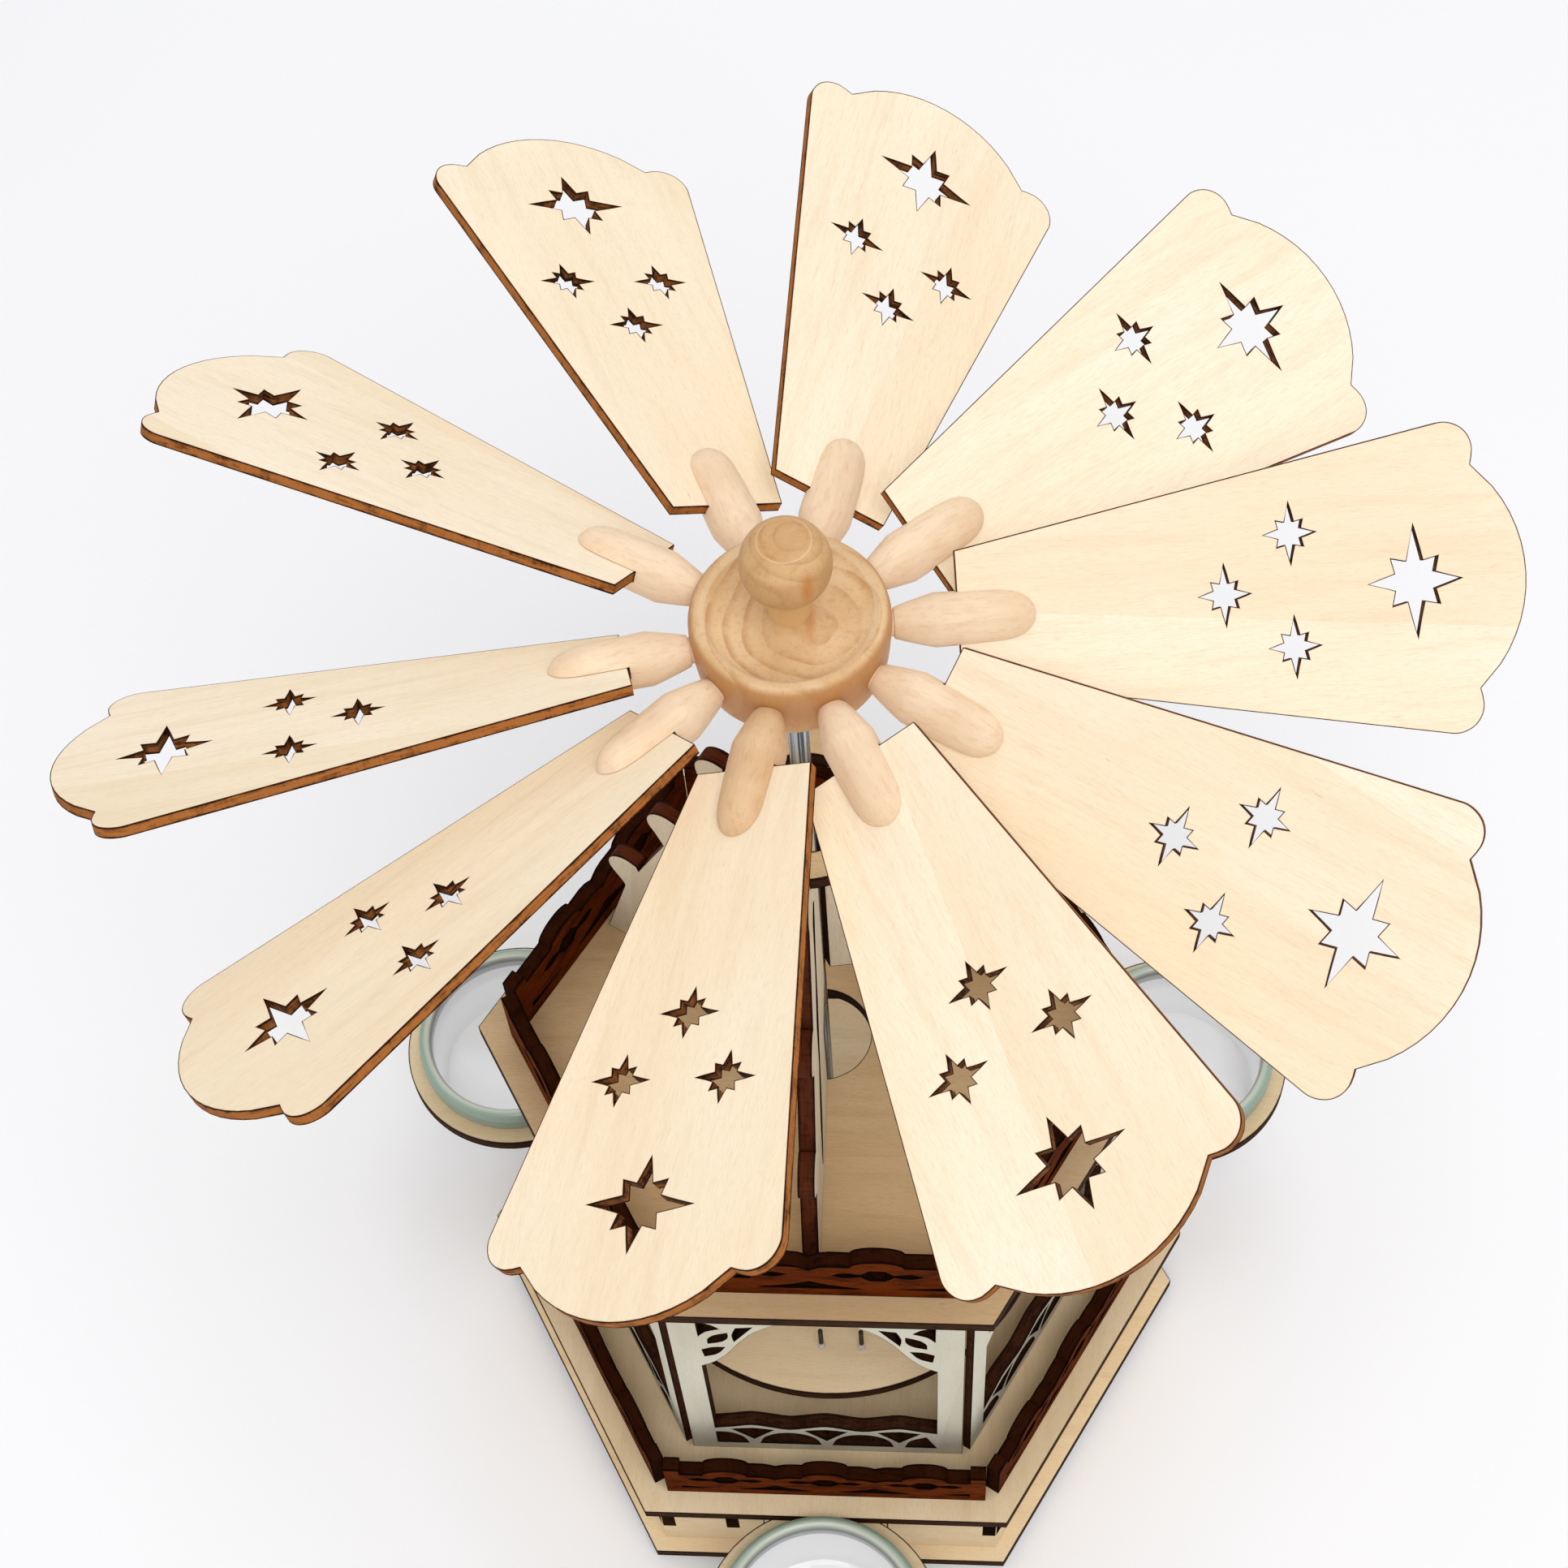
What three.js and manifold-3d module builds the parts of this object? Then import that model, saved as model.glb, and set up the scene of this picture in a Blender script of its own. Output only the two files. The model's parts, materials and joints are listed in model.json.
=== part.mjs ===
import * as THREE from 'three';
import Module from 'manifold-3d';

const wasm = await Module();
wasm.setup();

// All lengths are millimetres, +Z is up, and the base plate stands on z = 0 around the shaft's axis.
// The front of the stand is the -Y side. Every deck is a hexagon with corners at 0, 60, 120 ... degrees.

// Sheet wood
const sheet = 3;
const bladeSheet = 1.7;
const seatGap = 0.15;

// Stand: heights of the upper faces and corner radii of the decks
const deckCornerRadius = 75.2;
const deckApothem = deckCornerRadius * Math.cos(Math.PI / 6);
const lowerDeckTop = 32;
const panelHeight = 91.6;
const topDeckTop = lowerDeckTop + panelHeight + sheet;
const deckStepIn = 9.2;
const topDeckCornerRadius = deckCornerRadius - deckStepIn;
const topDeckApothem = topDeckCornerRadius * Math.cos(Math.PI / 6);
const topDeckHoleRadius = 9.5;

// Box wall between base plate and candle plate
const wallInset = 3.2;
const wallApothem = deckApothem - wallInset;
const wallSlotWidth = 2.8;
const wallSlotBottom = 11.5;
const wallSlotTop = 22;
const wallSlotShift = 20.5;
const wallCornerSlotInset = 1.5;

// Candle holders
const cupRimRadius = 21.8;
const cupDeckGap = 0.27;
const candleReach = deckApothem + cupDeckGap + cupRimRadius;
const candleRingWidth = 4.8;
const candleHoleRadius = 20.2;
const candleRingRadius = candleHoleRadius + candleRingWidth;
const candleNeckHalfWidth = 13;
const cupRimTop = 35.3;
const cupBodyRadius = 19.95;
const cupFootRadius = 19.3;
const cupFootBottom = 13;
const cupMouthRadius = 18.9;
const cupWall = 1.1;
const cupFloor = 2.6;
const cupSeatGap = 0.05;

// Fences around the decks
const lowerFenceInset = 4.6;
const lowerFenceApothem = deckApothem - lowerFenceInset;
const lowerFenceHeight = 14;
const topFenceInset = 4.9;
const topFenceApothem = topDeckApothem - topFenceInset;
const topFenceHeight = 16;
const boardEndGap = 0.1;
const fencePostWidth = 3.2;

// Panel boards of the second tier
const panelInset = 6.4;
const panelApothem = topDeckApothem - panelInset;
const panelCornerGap = 1.1;
const panelHalfWidth = panelApothem * Math.tan(Math.PI / 6) - panelCornerGap;
const postWidth = 5.3;
const archHalf = panelHalfWidth - postWidth;
const bandTop = 15;
const bandDip = 12.6;
const bandSill = 3.3;
const bandPitch = archHalf * 0.66;
const bandRib = 1.2;
const lensHeight = 7.2;
const archSpring = 50.6;
const archCrown = 77;
const bracketTop = 87.5;

// Ribs and cap ring of the tower
const towerHeight = 85.9;
const ribSlotHalfWidth = 1.9;
const ribFootInner = 10.4;
const ribFenceGap = 0.95;
const ribFootOuter = topFenceApothem - sheet - ribFenceGap;
const ribInner = 2;
const ribArchFoot = 22.4;
const ribArchTop = 28.4;
const ribLobeRadius = 4.4;
const capRingRadius = 14.6;
const capRingHoleRadius = 9.4;
const capRingTop = topDeckTop + towerHeight;

// Rotor
const shaftRadius = 1.7;
const shaftTipGap = 0.2;
const bearingRadius = 6;
const bearingHeight = 5;
const bearingSocketRadius = 2.1;
const bearingSocketFloor = 1.6;
const shaftTip = lowerDeckTop + bearingSocketFloor + shaftTipGap;
const turntableGap = 2.35;
const turntableRadius = panelApothem - sheet - turntableGap;
const turntableTop = 52;
const collarRadius = 7;
const collarHeight = 8;
const boreRadius = 1.9;
const pinRadius = 0.8;
const pinHeight = 10;
const pinInset = 9.9;
const pinReach = turntableRadius - pinInset;
const pinSide = 4.15;
const pinShift = 3;
const hubClearance = 43.5;
const hubBottom = capRingTop + hubClearance;
const shaftGrip = 5.5;
const shaftTop = hubBottom + shaftGrip;
const hubHeight = 11.8;
const hubBottomRadius = 14.3;
const hubRimRadius = 15.1;
const hubRimTop = hubBottom + hubHeight;
const hubDishDepth = 2.1;
const hubDishTop = hubRimTop - hubDishDepth;
const knobRadius = 6.8;
const knobStem = 13.5;
const knobCentre = hubDishTop + knobStem;
const knobNeckRadius = 3.1;
const knobFlatRadius = 4.2;
const knobCrown = 0.7;

// Pegs and blades
const bladeCount = 10;
const rotorRestDegrees = 7.5;
const pegRise = 6.1;
const pegAxisHeight = hubBottom + pegRise;
const pegTenonRadius = 2;
const pegSocketRadius = 2.3;
const pegTenonInner = 10.6;
const pegSocketInner = 10;
const pegShoulder = 15.4;
const pegNeckRadius = 2.45;
const pegBelly = 21.4;
const pegBellyRadius = 4.15;
const pegTip = 36.7;
const pegEndLength = 4.6;
const pegSlotStart = 24.6;
const bladeRoot = 24.9;
const bladeRootHalfWidth = 9.6;
const bladeShoulder = 98.4;
const bladeTipHalfWidth = 23.15;
const bladeEarRadius = 4.2;
const bladeNotchReach = 102.2;
const bladeNotchSide = 16.65;
const bladeTip = 109.8;
const bladeSideShift = 0.42;
const largeStarReach = 93.2;
const largeStarSize = 8.55;
const smallStarSize = 4.75;
const pairStarReach = 74.8;
const pairStarSide = 8.43;
const innerStarReach = 64.7;

// How each blade is turned away from the even layout, in degrees
const bladeTurns = [-0.66, -2.64, -0.88, -0.59, 2.61, 7.11, 0.32, 0.73, 0.29, -1.87];
const bladePitches = [36.8, 25.4, 29.1, 25.7, 31.6, 32.2, 31.6, 26.7, 26, 36.7];
const bladeDroops = [1.23, 1.87, 1.36, 0.56, -0.62, -0.49, 2.12, 0.08, 0.96, 2.97];

// Smoothness of round shapes
const turnedFaces = 20;
const pegFaces = 10;
const arcSteps = 4;

const paleWood = { color: 0xf0e2c4, roughness: 0.75, metalness: 0 };
const whitewashed = { color: 0xc9c3ae, roughness: 0.75, metalness: 0 };
const stained = { color: 0x4a1c0c, roughness: 0.6, metalness: 0 };
const turnedHoney = { color: 0xcda56e, roughness: 0.55, metalness: 0 };
const turnedBeech = { color: 0xe4c4a0, roughness: 0.6, metalness: 0 };
const steel = { color: 0x9aa2a8, roughness: 0.25, metalness: 1 };
const glass = { color: 0xcfded6, roughness: 0.08, metalness: 0, transparent: true, opacity: 0.4 };

const pyramid = new THREE.Group();
pyramid.name = 'christmas_pyramid';

function place(name, geometry, finish) {
  const mesh = new THREE.Mesh(geometry, new THREE.MeshStandardMaterial(finish));
  mesh.name = name;
  pyramid.add(mesh);
}

const radians = THREE.MathUtils.degToRad;
const cornerRadiusOf = (apothem) => apothem / Math.cos(Math.PI / 6);

// Solid joining and cutting
function toSolid(geometry) {
  const bare = geometry.index ? geometry.toNonIndexed() : geometry;
  const points = bare.getAttribute('position');
  const places = new Map();
  const vertProperties = [];
  const corners = [];
  const stepsPerMillimetre = 1e5;
  for (let i = 0; i < points.count; i += 1) {
    const xyz = [points.getX(i), points.getY(i), points.getZ(i)];
    const key = xyz.map((value) => Math.round(value * stepsPerMillimetre)).join(',');
    if (!places.has(key)) {
      places.set(key, places.size);
      vertProperties.push(...xyz);
    }
    corners.push(places.get(key));
  }
  const kept = [];
  for (let i = 0; i < corners.length; i += 3) {
    const [a, b, c] = corners.slice(i, i + 3);
    if (a !== b && b !== c && c !== a) kept.push(a, b, c);
  }
  const mesh = new wasm.Mesh({
    numProp: 3,
    vertProperties: new Float32Array(vertProperties),
    triVerts: new Uint32Array(kept),
  });
  return new wasm.Manifold(mesh);
}

function toGeometry(solid) {
  const mesh = solid.getMesh();
  const geometry = new THREE.BufferGeometry();
  geometry.setAttribute('position', new THREE.BufferAttribute(new Float32Array(mesh.vertProperties), 3));
  geometry.setIndex(new THREE.BufferAttribute(new Uint32Array(mesh.triVerts), 1));
  const flat = geometry.toNonIndexed();
  flat.computeVertexNormals();
  return flat;
}

function cutAway(body, tools) {
  return toGeometry(tools.reduce((left, tool) => left.subtract(toSolid(tool)), toSolid(body)));
}

function joinUp(parts) {
  return parts.slice(1).reduce((whole, part) => whole.add(toSolid(part)), toSolid(parts[0]));
}

// Flat shapes
function closedShape(points) {
  return new THREE.Shape(points.map(([x, y]) => new THREE.Vector2(x, y)));
}

function closedPath(points) {
  return new THREE.Path(points.map(([x, y]) => new THREE.Vector2(x, y)));
}

function arcPoints(x, y, radius, from, to, steps = arcSteps, squash = 1) {
  const points = [];
  for (let i = 0; i <= steps; i += 1) {
    const angle = radians(from + ((to - from) * i) / steps);
    points.push([x + radius * Math.cos(angle), y + radius * squash * Math.sin(angle)]);
  }
  return points;
}

function hexagonPoints(cornerRadius) {
  return arcPoints(0, 0, cornerRadius, 0, 300, 5);
}

function circlePoints(x, y, radius, steps = turnedFaces) {
  return arcPoints(x, y, radius, 0, 360 - 360 / steps, steps - 1);
}

function plate(shape, bottom, thickness) {
  const geometry = new THREE.ExtrudeGeometry(shape, { depth: thickness, bevelEnabled: false });
  geometry.translate(0, 0, bottom);
  return geometry;
}

// A flat piece with cut-outs: each cut-out is a closed outline of its own
function pierced(outline, cutouts, bottom, thickness) {
  const tools = cutouts.map((points) => plate(closedShape(points), bottom - thickness, thickness * 3));
  return cutAway(plate(closedShape(outline), bottom, thickness), tools);
}

// Stands a board on a deck: its outline runs sideways and upwards, its outer face looks along the azimuth
function stand(geometry, azimuth, foot) {
  const outward = new THREE.Vector3(Math.cos(radians(azimuth)), Math.sin(radians(azimuth)), 0);
  const sideways = new THREE.Vector3(-outward.y, outward.x, 0);
  const upward = new THREE.Vector3(0, 0, 1);
  const stood = geometry.clone();
  stood.applyMatrix4(new THREE.Matrix4().makeBasis(sideways, upward, outward));
  stood.translate(0, 0, foot);
  return stood;
}

// Stands a rib along an azimuth: its outline runs outwards from the axis and upwards
function standRib(geometry, azimuth) {
  const outward = new THREE.Vector3(Math.cos(radians(azimuth)), Math.sin(radians(azimuth)), 0);
  const upward = new THREE.Vector3(0, 0, 1);
  const across = new THREE.Vector3().crossVectors(outward, upward);
  return geometry.clone().applyMatrix4(new THREE.Matrix4().makeBasis(outward, upward, across));
}

// A turned piece: its profile lists radius and height pairs from the axis and back to it
function turned(profile, faces = turnedFaces) {
  const geometry = new THREE.LatheGeometry(profile.map(([r, z]) => new THREE.Vector2(r, z)), faces);
  geometry.rotateX(Math.PI / 2);
  return geometry;
}

function rod(radius, bottom, top, x = 0, y = 0, faces = turnedFaces) {
  const geometry = turned([[0, bottom], [radius, bottom], [radius, top], [0, top]], faces);
  geometry.translate(x, y, 0);
  return geometry;
}

const sideAzimuths = [270, 330, 30, 90, 150, 210];
const candleAzimuths = [270, 30, 150];

// Base plate and box wall
const candlePlateTop = lowerDeckTop - sheet;
const wallTop = candlePlateTop - sheet;
place('base_plate', pierced(hexagonPoints(deckCornerRadius), [], 0, sheet), paleWood);

const wallShape = closedShape(hexagonPoints(cornerRadiusOf(wallApothem)));
wallShape.holes.push(closedPath(hexagonPoints(cornerRadiusOf(wallApothem - sheet))));
const wallHalfLength = wallApothem * Math.tan(Math.PI / 6);
const slotTools = sideAzimuths.flatMap((azimuth) => {
  const cornerStation = wallHalfLength - wallCornerSlotInset;
  const stations = [-cornerStation, -wallSlotShift, cornerStation];
  return stations.map((side) => {
    const slot = closedShape([
      [side - wallSlotWidth / 2, wallSlotBottom],
      [side + wallSlotWidth / 2, wallSlotBottom],
      [side + wallSlotWidth / 2, wallSlotTop],
      [side - wallSlotWidth / 2, wallSlotTop],
    ]);
    return stand(plate(slot, wallApothem - sheet * 2, sheet * 3), azimuth, 0);
  });
});
place('base_wall', cutAway(plate(wallShape, sheet, wallTop - sheet), slotTools), paleWood);

// Candle plate: a hexagon between wall and deck that carries three ring-shaped arms
const candleParts = [plate(closedShape(hexagonPoints(cornerRadiusOf(wallApothem))), wallTop, sheet)];
const candleHoles = [];
candleAzimuths.forEach((azimuth) => {
  const x = candleReach * Math.cos(radians(azimuth));
  const y = candleReach * Math.sin(radians(azimuth));
  candleParts.push(rod(candleRingRadius, wallTop, candlePlateTop, x, y));
  const neck = new THREE.BoxGeometry(candleRingRadius * 2, candleNeckHalfWidth * 2, sheet);
  neck.translate(wallApothem, 0, wallTop + sheet / 2);
  neck.rotateZ(radians(azimuth));
  candleParts.push(neck);
  candleHoles.push(rod(candleHoleRadius, wallTop - sheet, candlePlateTop + sheet, x, y));
});
const candlePlate = candleHoles.reduce((left, hole) => left.subtract(toSolid(hole)), joinUp(candleParts));
place('candle_plate', toGeometry(candlePlate), paleWood);

// Glass cups: a rim that rests on the ring and a tapered body that hangs in its hole
const cupSeat = candlePlateTop + cupSeatGap;
candleAzimuths.forEach((azimuth, index) => {
  const cup = turned([
    [0, cupFootBottom],
    [cupFootRadius, cupFootBottom],
    [cupBodyRadius, cupSeat],
    [cupRimRadius, cupSeat],
    [cupRimRadius, cupRimTop],
    [cupMouthRadius, cupRimTop],
    [cupFootRadius - cupWall, cupFootBottom + cupFloor],
    [0, cupFootBottom + cupFloor],
  ]);
  cup.translate(candleReach * Math.cos(radians(azimuth)), candleReach * Math.sin(radians(azimuth)), 0);
  place(`glass_cup_${index + 1}`, cup, glass);
});

// Lower deck
place('lower_deck', pierced(hexagonPoints(deckCornerRadius), [], lowerDeckTop - sheet, sheet), paleWood);

// Fences: boards with end posts, humps pierced by winged eyes, and long slits below the notches between them
function wingedEye(x, y, halfLength, halfHeight) {
  const wing = halfLength * 2.65;
  const wingHalf = halfHeight * 0.38;
  const upper = arcPoints(x, y, halfLength, 10, 170, arcSteps - 1, halfHeight / halfLength);
  const lower = arcPoints(x, y, halfLength, 190, 350, arcSteps - 1, halfHeight / halfLength);
  return [
    [x + wing, y],
    [x + wing * 0.8, y + wingHalf],
    ...upper,
    [x - wing * 0.8, y + wingHalf],
    [x - wing, y],
    [x - wing * 0.8, y - wingHalf],
    ...lower,
    [x + wing * 0.8, y - wingHalf],
  ];
}

function fence(apothem, halfLength, height, humps, humpHalfWidth, shoulderShare) {
  const post = halfLength - fencePostWidth;
  const postTop = height * 0.97;
  const shoulder = height * shoulderShare;
  const dips = humps.slice(1).map((at, i) => (at + humps[i]) / 2);
  const outline = [[-halfLength, 0], [halfLength, 0], [halfLength, postTop], [post, postTop]];
  outline.push([post, shoulder]);
  const marks = [...humps.map((at) => [at, 'hump']), ...dips.map((at) => [at, 'dip'])];
  marks.sort((a, b) => b[0] - a[0]);
  marks.forEach(([at, kind]) => {
    if (kind === 'hump') {
      const squash = (height - shoulder) / humpHalfWidth;
      outline.push([at + humpHalfWidth * 1.02, shoulder]);
      outline.push(...arcPoints(at, shoulder, humpHalfWidth, 20, 160, arcSteps, squash));
      outline.push([at - humpHalfWidth * 1.02, shoulder]);
    } else {
      outline.push([at + humpHalfWidth * 0.4, shoulder * 0.98]);
      outline.push([at, shoulder * 0.88]);
      outline.push([at - humpHalfWidth * 0.4, shoulder * 0.98]);
    }
  });
  outline.push([-post, shoulder], [-post, postTop], [-halfLength, postTop]);
  const cutouts = humps.map((at) => wingedEye(at, height * 0.61, humpHalfWidth * 0.63, height * 0.165));
  const slitBottom = height * 0.2;
  const bridgeHalf = humpHalfWidth * 0.55;
  dips.forEach((at, i) => {
    const half = (humps[i + 1] - humps[i]) / 2 - bridgeHalf;
    cutouts.push([
      [at - half, slitBottom + height * 0.02],
      [at - half * 0.85, slitBottom],
      [at + half * 0.85, slitBottom],
      [at + half, slitBottom + height * 0.02],
      [at + half * 0.3, slitBottom + height * 0.13],
      [at, slitBottom + height * 0.22],
      [at - half * 0.3, slitBottom + height * 0.13],
    ]);
  });
  [-1, 1].forEach((side) => {
    const inner = humps[humps.length - 1] + bridgeHalf;
    const outer = post - boardEndGap;
    cutouts.push([
      [side * inner, slitBottom + height * 0.02],
      [side * outer, slitBottom],
      [side * outer, slitBottom + height * 0.1],
    ]);
  });
  return pierced(outline, cutouts, apothem - sheet, sheet);
}

const lowerFenceHalf = (lowerFenceApothem - sheet) * Math.tan(Math.PI / 6) - boardEndGap;
const topFenceHalf = (topFenceApothem - sheet) * Math.tan(Math.PI / 6) - boardEndGap;
const lowerHump = lowerFenceHalf * 0.14;
const topHump = topFenceHalf * 0.17;
const lowerHumps = [-lowerFenceHalf * 0.62, 0, lowerFenceHalf * 0.62];
const lowerFence = fence(lowerFenceApothem, lowerFenceHalf, lowerFenceHeight, lowerHumps, lowerHump, 0.79);
sideAzimuths.forEach((azimuth, index) => {
  place(`lower_fence_${index + 1}`, stand(lowerFence, azimuth, lowerDeckTop), stained);
});

// Panels of the second tier: posts, an arch with leaf brackets in its corners and a band of interlaced arcs
function mirrored(points, side) {
  return points.map(([x, y]) => [x * side, y]);
}

const waveSteps = 4;

// Height of the band's upper edge: it peaks above each foot of the arcs
function bandEdge(x) {
  const phase = (x / bandPitch) * Math.PI * 2;
  return (bandTop + bandDip) / 2 + ((bandTop - bandDip) / 2) * Math.cos(phase);
}

function archOpening() {
  const bow = [
    [1, 0],
    [0.92, 0.06],
    [0.84, 0.15],
    [0.73, 0.34],
    [0.64, 0.53],
    [0.55, 0.68],
    [0.42, 0.82],
    [0.22, 0.95],
    [0, 1],
  ];
  const right = bow.map(([across, up]) => [
    archHalf * across,
    archSpring + (archCrown - archSpring) * up,
  ]);
  const left = mirrored(right, -1).reverse().slice(1);
  const sill = [];
  const waves = Math.round((archHalf * 2 * waveSteps) / bandPitch);
  for (let i = 0; i <= waves; i += 1) {
    const x = archHalf * ((2 * i) / waves - 1);
    sill.push([x, bandEdge(x)]);
  }
  return [...sill, ...right, ...left];
}

// Lens under each arc of the band, clipped by the posts at both ends
function bandLens(centre) {
  const half = bandPitch / 2 - bandRib;
  return arcPoints(centre, bandSill, half, 0, 180, arcSteps + 1, lensHeight / half)
    .map(([x, y]) => [Math.max(-archHalf, Math.min(archHalf, x)), y])
    .filter(([x, y], i, all) => i === 0 || Math.abs(x - all[i - 1][0]) > 1e-3 || i === all.length - 1);
}

// Curved triangle above each foot of the arcs
function bandTriangle(foot) {
  const halfWidth = bandPitch * 0.29;
  const high = bandTop - bandRib * 1.6;
  return [
    [foot, bandSill + bandRib * 2.3],
    [foot + halfWidth * 0.45, bandSill + lensHeight * 0.78],
    [foot + halfWidth, high - bandRib * 0.8],
    [foot, high],
    [foot - halfWidth, high - bandRib * 0.8],
    [foot - halfWidth * 0.45, bandSill + lensHeight * 0.78],
  ];
}

// Cut-outs of one arch corner, as shares of the half opening and of the height above the spring of the arch
const bracketShares = [
  // Leaf
  [[0.91, 0.341], [0.91, 0.401], [0.85, 0.466], [0.74, 0.504], [0.74, 0.439], [0.8, 0.374]],
  // Crescent below it
  [[0.975, 0.249], [0.96, 0.146], [0.87, 0.179], [0.775, 0.293], [0.87, 0.29]],
  // Wedge between leaf and arch
  [[0.69, 0.377], [0.7, 0.474], [0.66, 0.577], [0.52, 0.596]],
  // Corner between leaf and post
  [[0.985, 0.444], [0.985, 0.65], [0.86, 0.612], [0.8, 0.558], [0.92, 0.515]],
  // Large corner above the leaf
  [[0.97, 0.732], [0.97, 1], [0.42, 1], [0.5, 0.799], [0.62, 0.705], [0.74, 0.64], [0.86, 0.683]],
];
function bracketCutouts(side) {
  const rise = bracketTop - archSpring;
  return bracketShares.map((points) => (
    points.map(([across, up]) => [archHalf * across * side, archSpring + rise * up])
  ));
}

const panelOutline = [
  [-panelHalfWidth, 0],
  [panelHalfWidth, 0],
  [panelHalfWidth, panelHeight],
  [-panelHalfWidth, panelHeight],
];
const panelCutouts = [
  archOpening(),
  ...[-1.5, -0.5, 0.5, 1.5].map((at) => bandLens(at * bandPitch)),
  ...[-1, 0, 1].map((at) => bandTriangle(at * bandPitch)),
  ...bracketCutouts(1),
  ...bracketCutouts(-1),
];

// Bevels the inner edges of the posts, so that two neighbours just miss each other at the corner
function cornerBevel(side) {
  const slope = Math.tan(Math.PI / 6);
  const [near, far] = [panelApothem - sheet * 2, panelApothem + sheet];
  const outline = [
    [near * slope - boardEndGap, near],
    [far * slope - boardEndGap, far],
    [panelApothem, far],
    [panelApothem, near],
  ];
  const depth = panelHeight + sheet * 2;
  const bevel = plate(closedShape(outline), 0, depth);
  bevel.rotateX(Math.PI / 2);
  bevel.translate(0, depth - sheet, 0);
  if (side < 0) bevel.rotateZ(Math.PI).translate(0, panelHeight, 0);
  return bevel;
}

const panel = cutAway(
  pierced(panelOutline, panelCutouts, panelApothem - sheet, sheet),
  [cornerBevel(1), cornerBevel(-1)],
);
sideAzimuths.forEach((azimuth, index) => {
  place(`panel_${index + 1}`, stand(panel, azimuth, lowerDeckTop), whitewashed);
});

// Top deck with its round hole, and its fences
const topDeckHole = circlePoints(0, 0, topDeckHoleRadius);
const topDeck = pierced(hexagonPoints(topDeckCornerRadius), [topDeckHole], topDeckTop - sheet, sheet);
place('top_deck', topDeck, paleWood);
const topHumps = [-topFenceHalf * 0.43, topFenceHalf * 0.43];
const topFence = fence(topFenceApothem, topFenceHalf, topFenceHeight, topHumps, topHump, 0.84);
sideAzimuths.forEach((azimuth, index) => {
  place(`top_fence_${index + 1}`, stand(topFence, azimuth, topDeckTop), stained);
});

// Ribs: the outer edge climbs in three rounded steps, a long cut-out follows it.
// Places are shares of the foot's reach and of the tower's height.
const ribLobeShares = [[0.84, 0.326], [0.607, 0.617], [0.344, 0.952]];
const ribSlotShares = [
  [0.571, 0.075],
  [0.505, 0.226],
  [0.427, 0.389],
  [0.381, 0.529],
  [0.315, 0.668],
  [0.253, 0.82],
];
const ribSlotEndShares = [[0.584, 0.04], [0.248, 0.855]];
function ribPlate() {
  const capSeat = capRingTop - sheet;
  const onRib = ([out, up]) => [ribFootOuter * out, topDeckTop + towerHeight * up];
  const outline = [[ribFootInner, topDeckTop], [ribFootOuter, topDeckTop]];
  ribLobeShares.map(onRib).forEach(([r, z], index) => {
    const last = index === ribLobeShares.length - 1;
    outline.push([r + ribLobeRadius * (last ? 0.91 : 0.33), z - ribLobeRadius * (last ? 0.77 : 1.5)]);
    if (last) {
      outline.push(...arcPoints(r, z, ribLobeRadius, -10, 112, arcSteps + 1));
      outline.push([capRingRadius + seatGap, capSeat]);
    } else {
      outline.push(...arcPoints(r, z, ribLobeRadius, -45, 122, arcSteps + 2));
      outline.push([r - ribLobeRadius * 0.6, z + ribLobeRadius * 0.55]);
    }
  });
  outline.push([ribInner, capSeat]);
  outline.push([ribInner, topDeckTop + ribArchTop], [ribFootInner, topDeckTop + ribArchFoot]);
  const spine = ribSlotShares.map(onRib);
  const outer = spine.map(([r, z], i) => [r + ribSlotHalfWidth * (i % 2 ? 1.25 : 0.7), z]);
  const inner = spine.map(([r, z], i) => [r - ribSlotHalfWidth * (i % 2 ? 1.25 : 0.7), z]).reverse();
  const [low, high] = ribSlotEndShares.map(onRib);
  return pierced(outline, [[...outer, high, ...inner, low]], -sheet / 2, sheet);
}
const rib = ribPlate();
candleAzimuths.forEach((azimuth, index) => {
  place(`rib_${index + 1}`, standRib(rib, azimuth), whitewashed);
});
const capHole = circlePoints(0, 0, capRingHoleRadius);
place('cap_ring', pierced(circlePoints(0, 0, capRingRadius), [capHole], capRingTop - sheet, sheet), paleWood);

// Foot bearing, shaft and turntable
place('foot_bearing', turned([
  [0, lowerDeckTop],
  [bearingRadius, lowerDeckTop],
  [bearingRadius * 0.85, lowerDeckTop + bearingHeight],
  [bearingSocketRadius, lowerDeckTop + bearingHeight],
  [bearingSocketRadius, lowerDeckTop + bearingSocketFloor * 1.8],
  [0, lowerDeckTop + bearingSocketFloor],
]), steel);
place('shaft', turned([
  [0, shaftTip],
  [shaftRadius, shaftTip + shaftRadius],
  [shaftRadius, shaftTop],
  [0, shaftTop],
]), steel);
const turntableEdge = circlePoints(0, 0, turntableRadius, turnedFaces * 2);
const turntableBore = circlePoints(0, 0, boreRadius, pegFaces);
place('turntable', pierced(turntableEdge, [turntableBore], turntableTop - sheet, sheet), paleWood);
const collarTop = turntableTop + collarHeight;
place('turntable_collar', cutAway(
  turned([
    [0, turntableTop],
    [collarRadius, turntableTop],
    [collarRadius, turntableTop + collarHeight * 0.4],
    [collarRadius * 0.7, collarTop],
    [0, collarTop],
  ]),
  [rod(boreRadius, turntableTop - sheet, collarTop + sheet, 0, 0, pegFaces)],
), turnedHoney);
[-1, 1].forEach((side, index) => {
  const pinTop = turntableTop + pinHeight;
  const pin = rod(pinRadius, turntableTop, pinTop, pinShift + side * pinSide, -pinReach, pegFaces);
  place(`turntable_pin_${index + 1}`, pin, steel);
});

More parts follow.
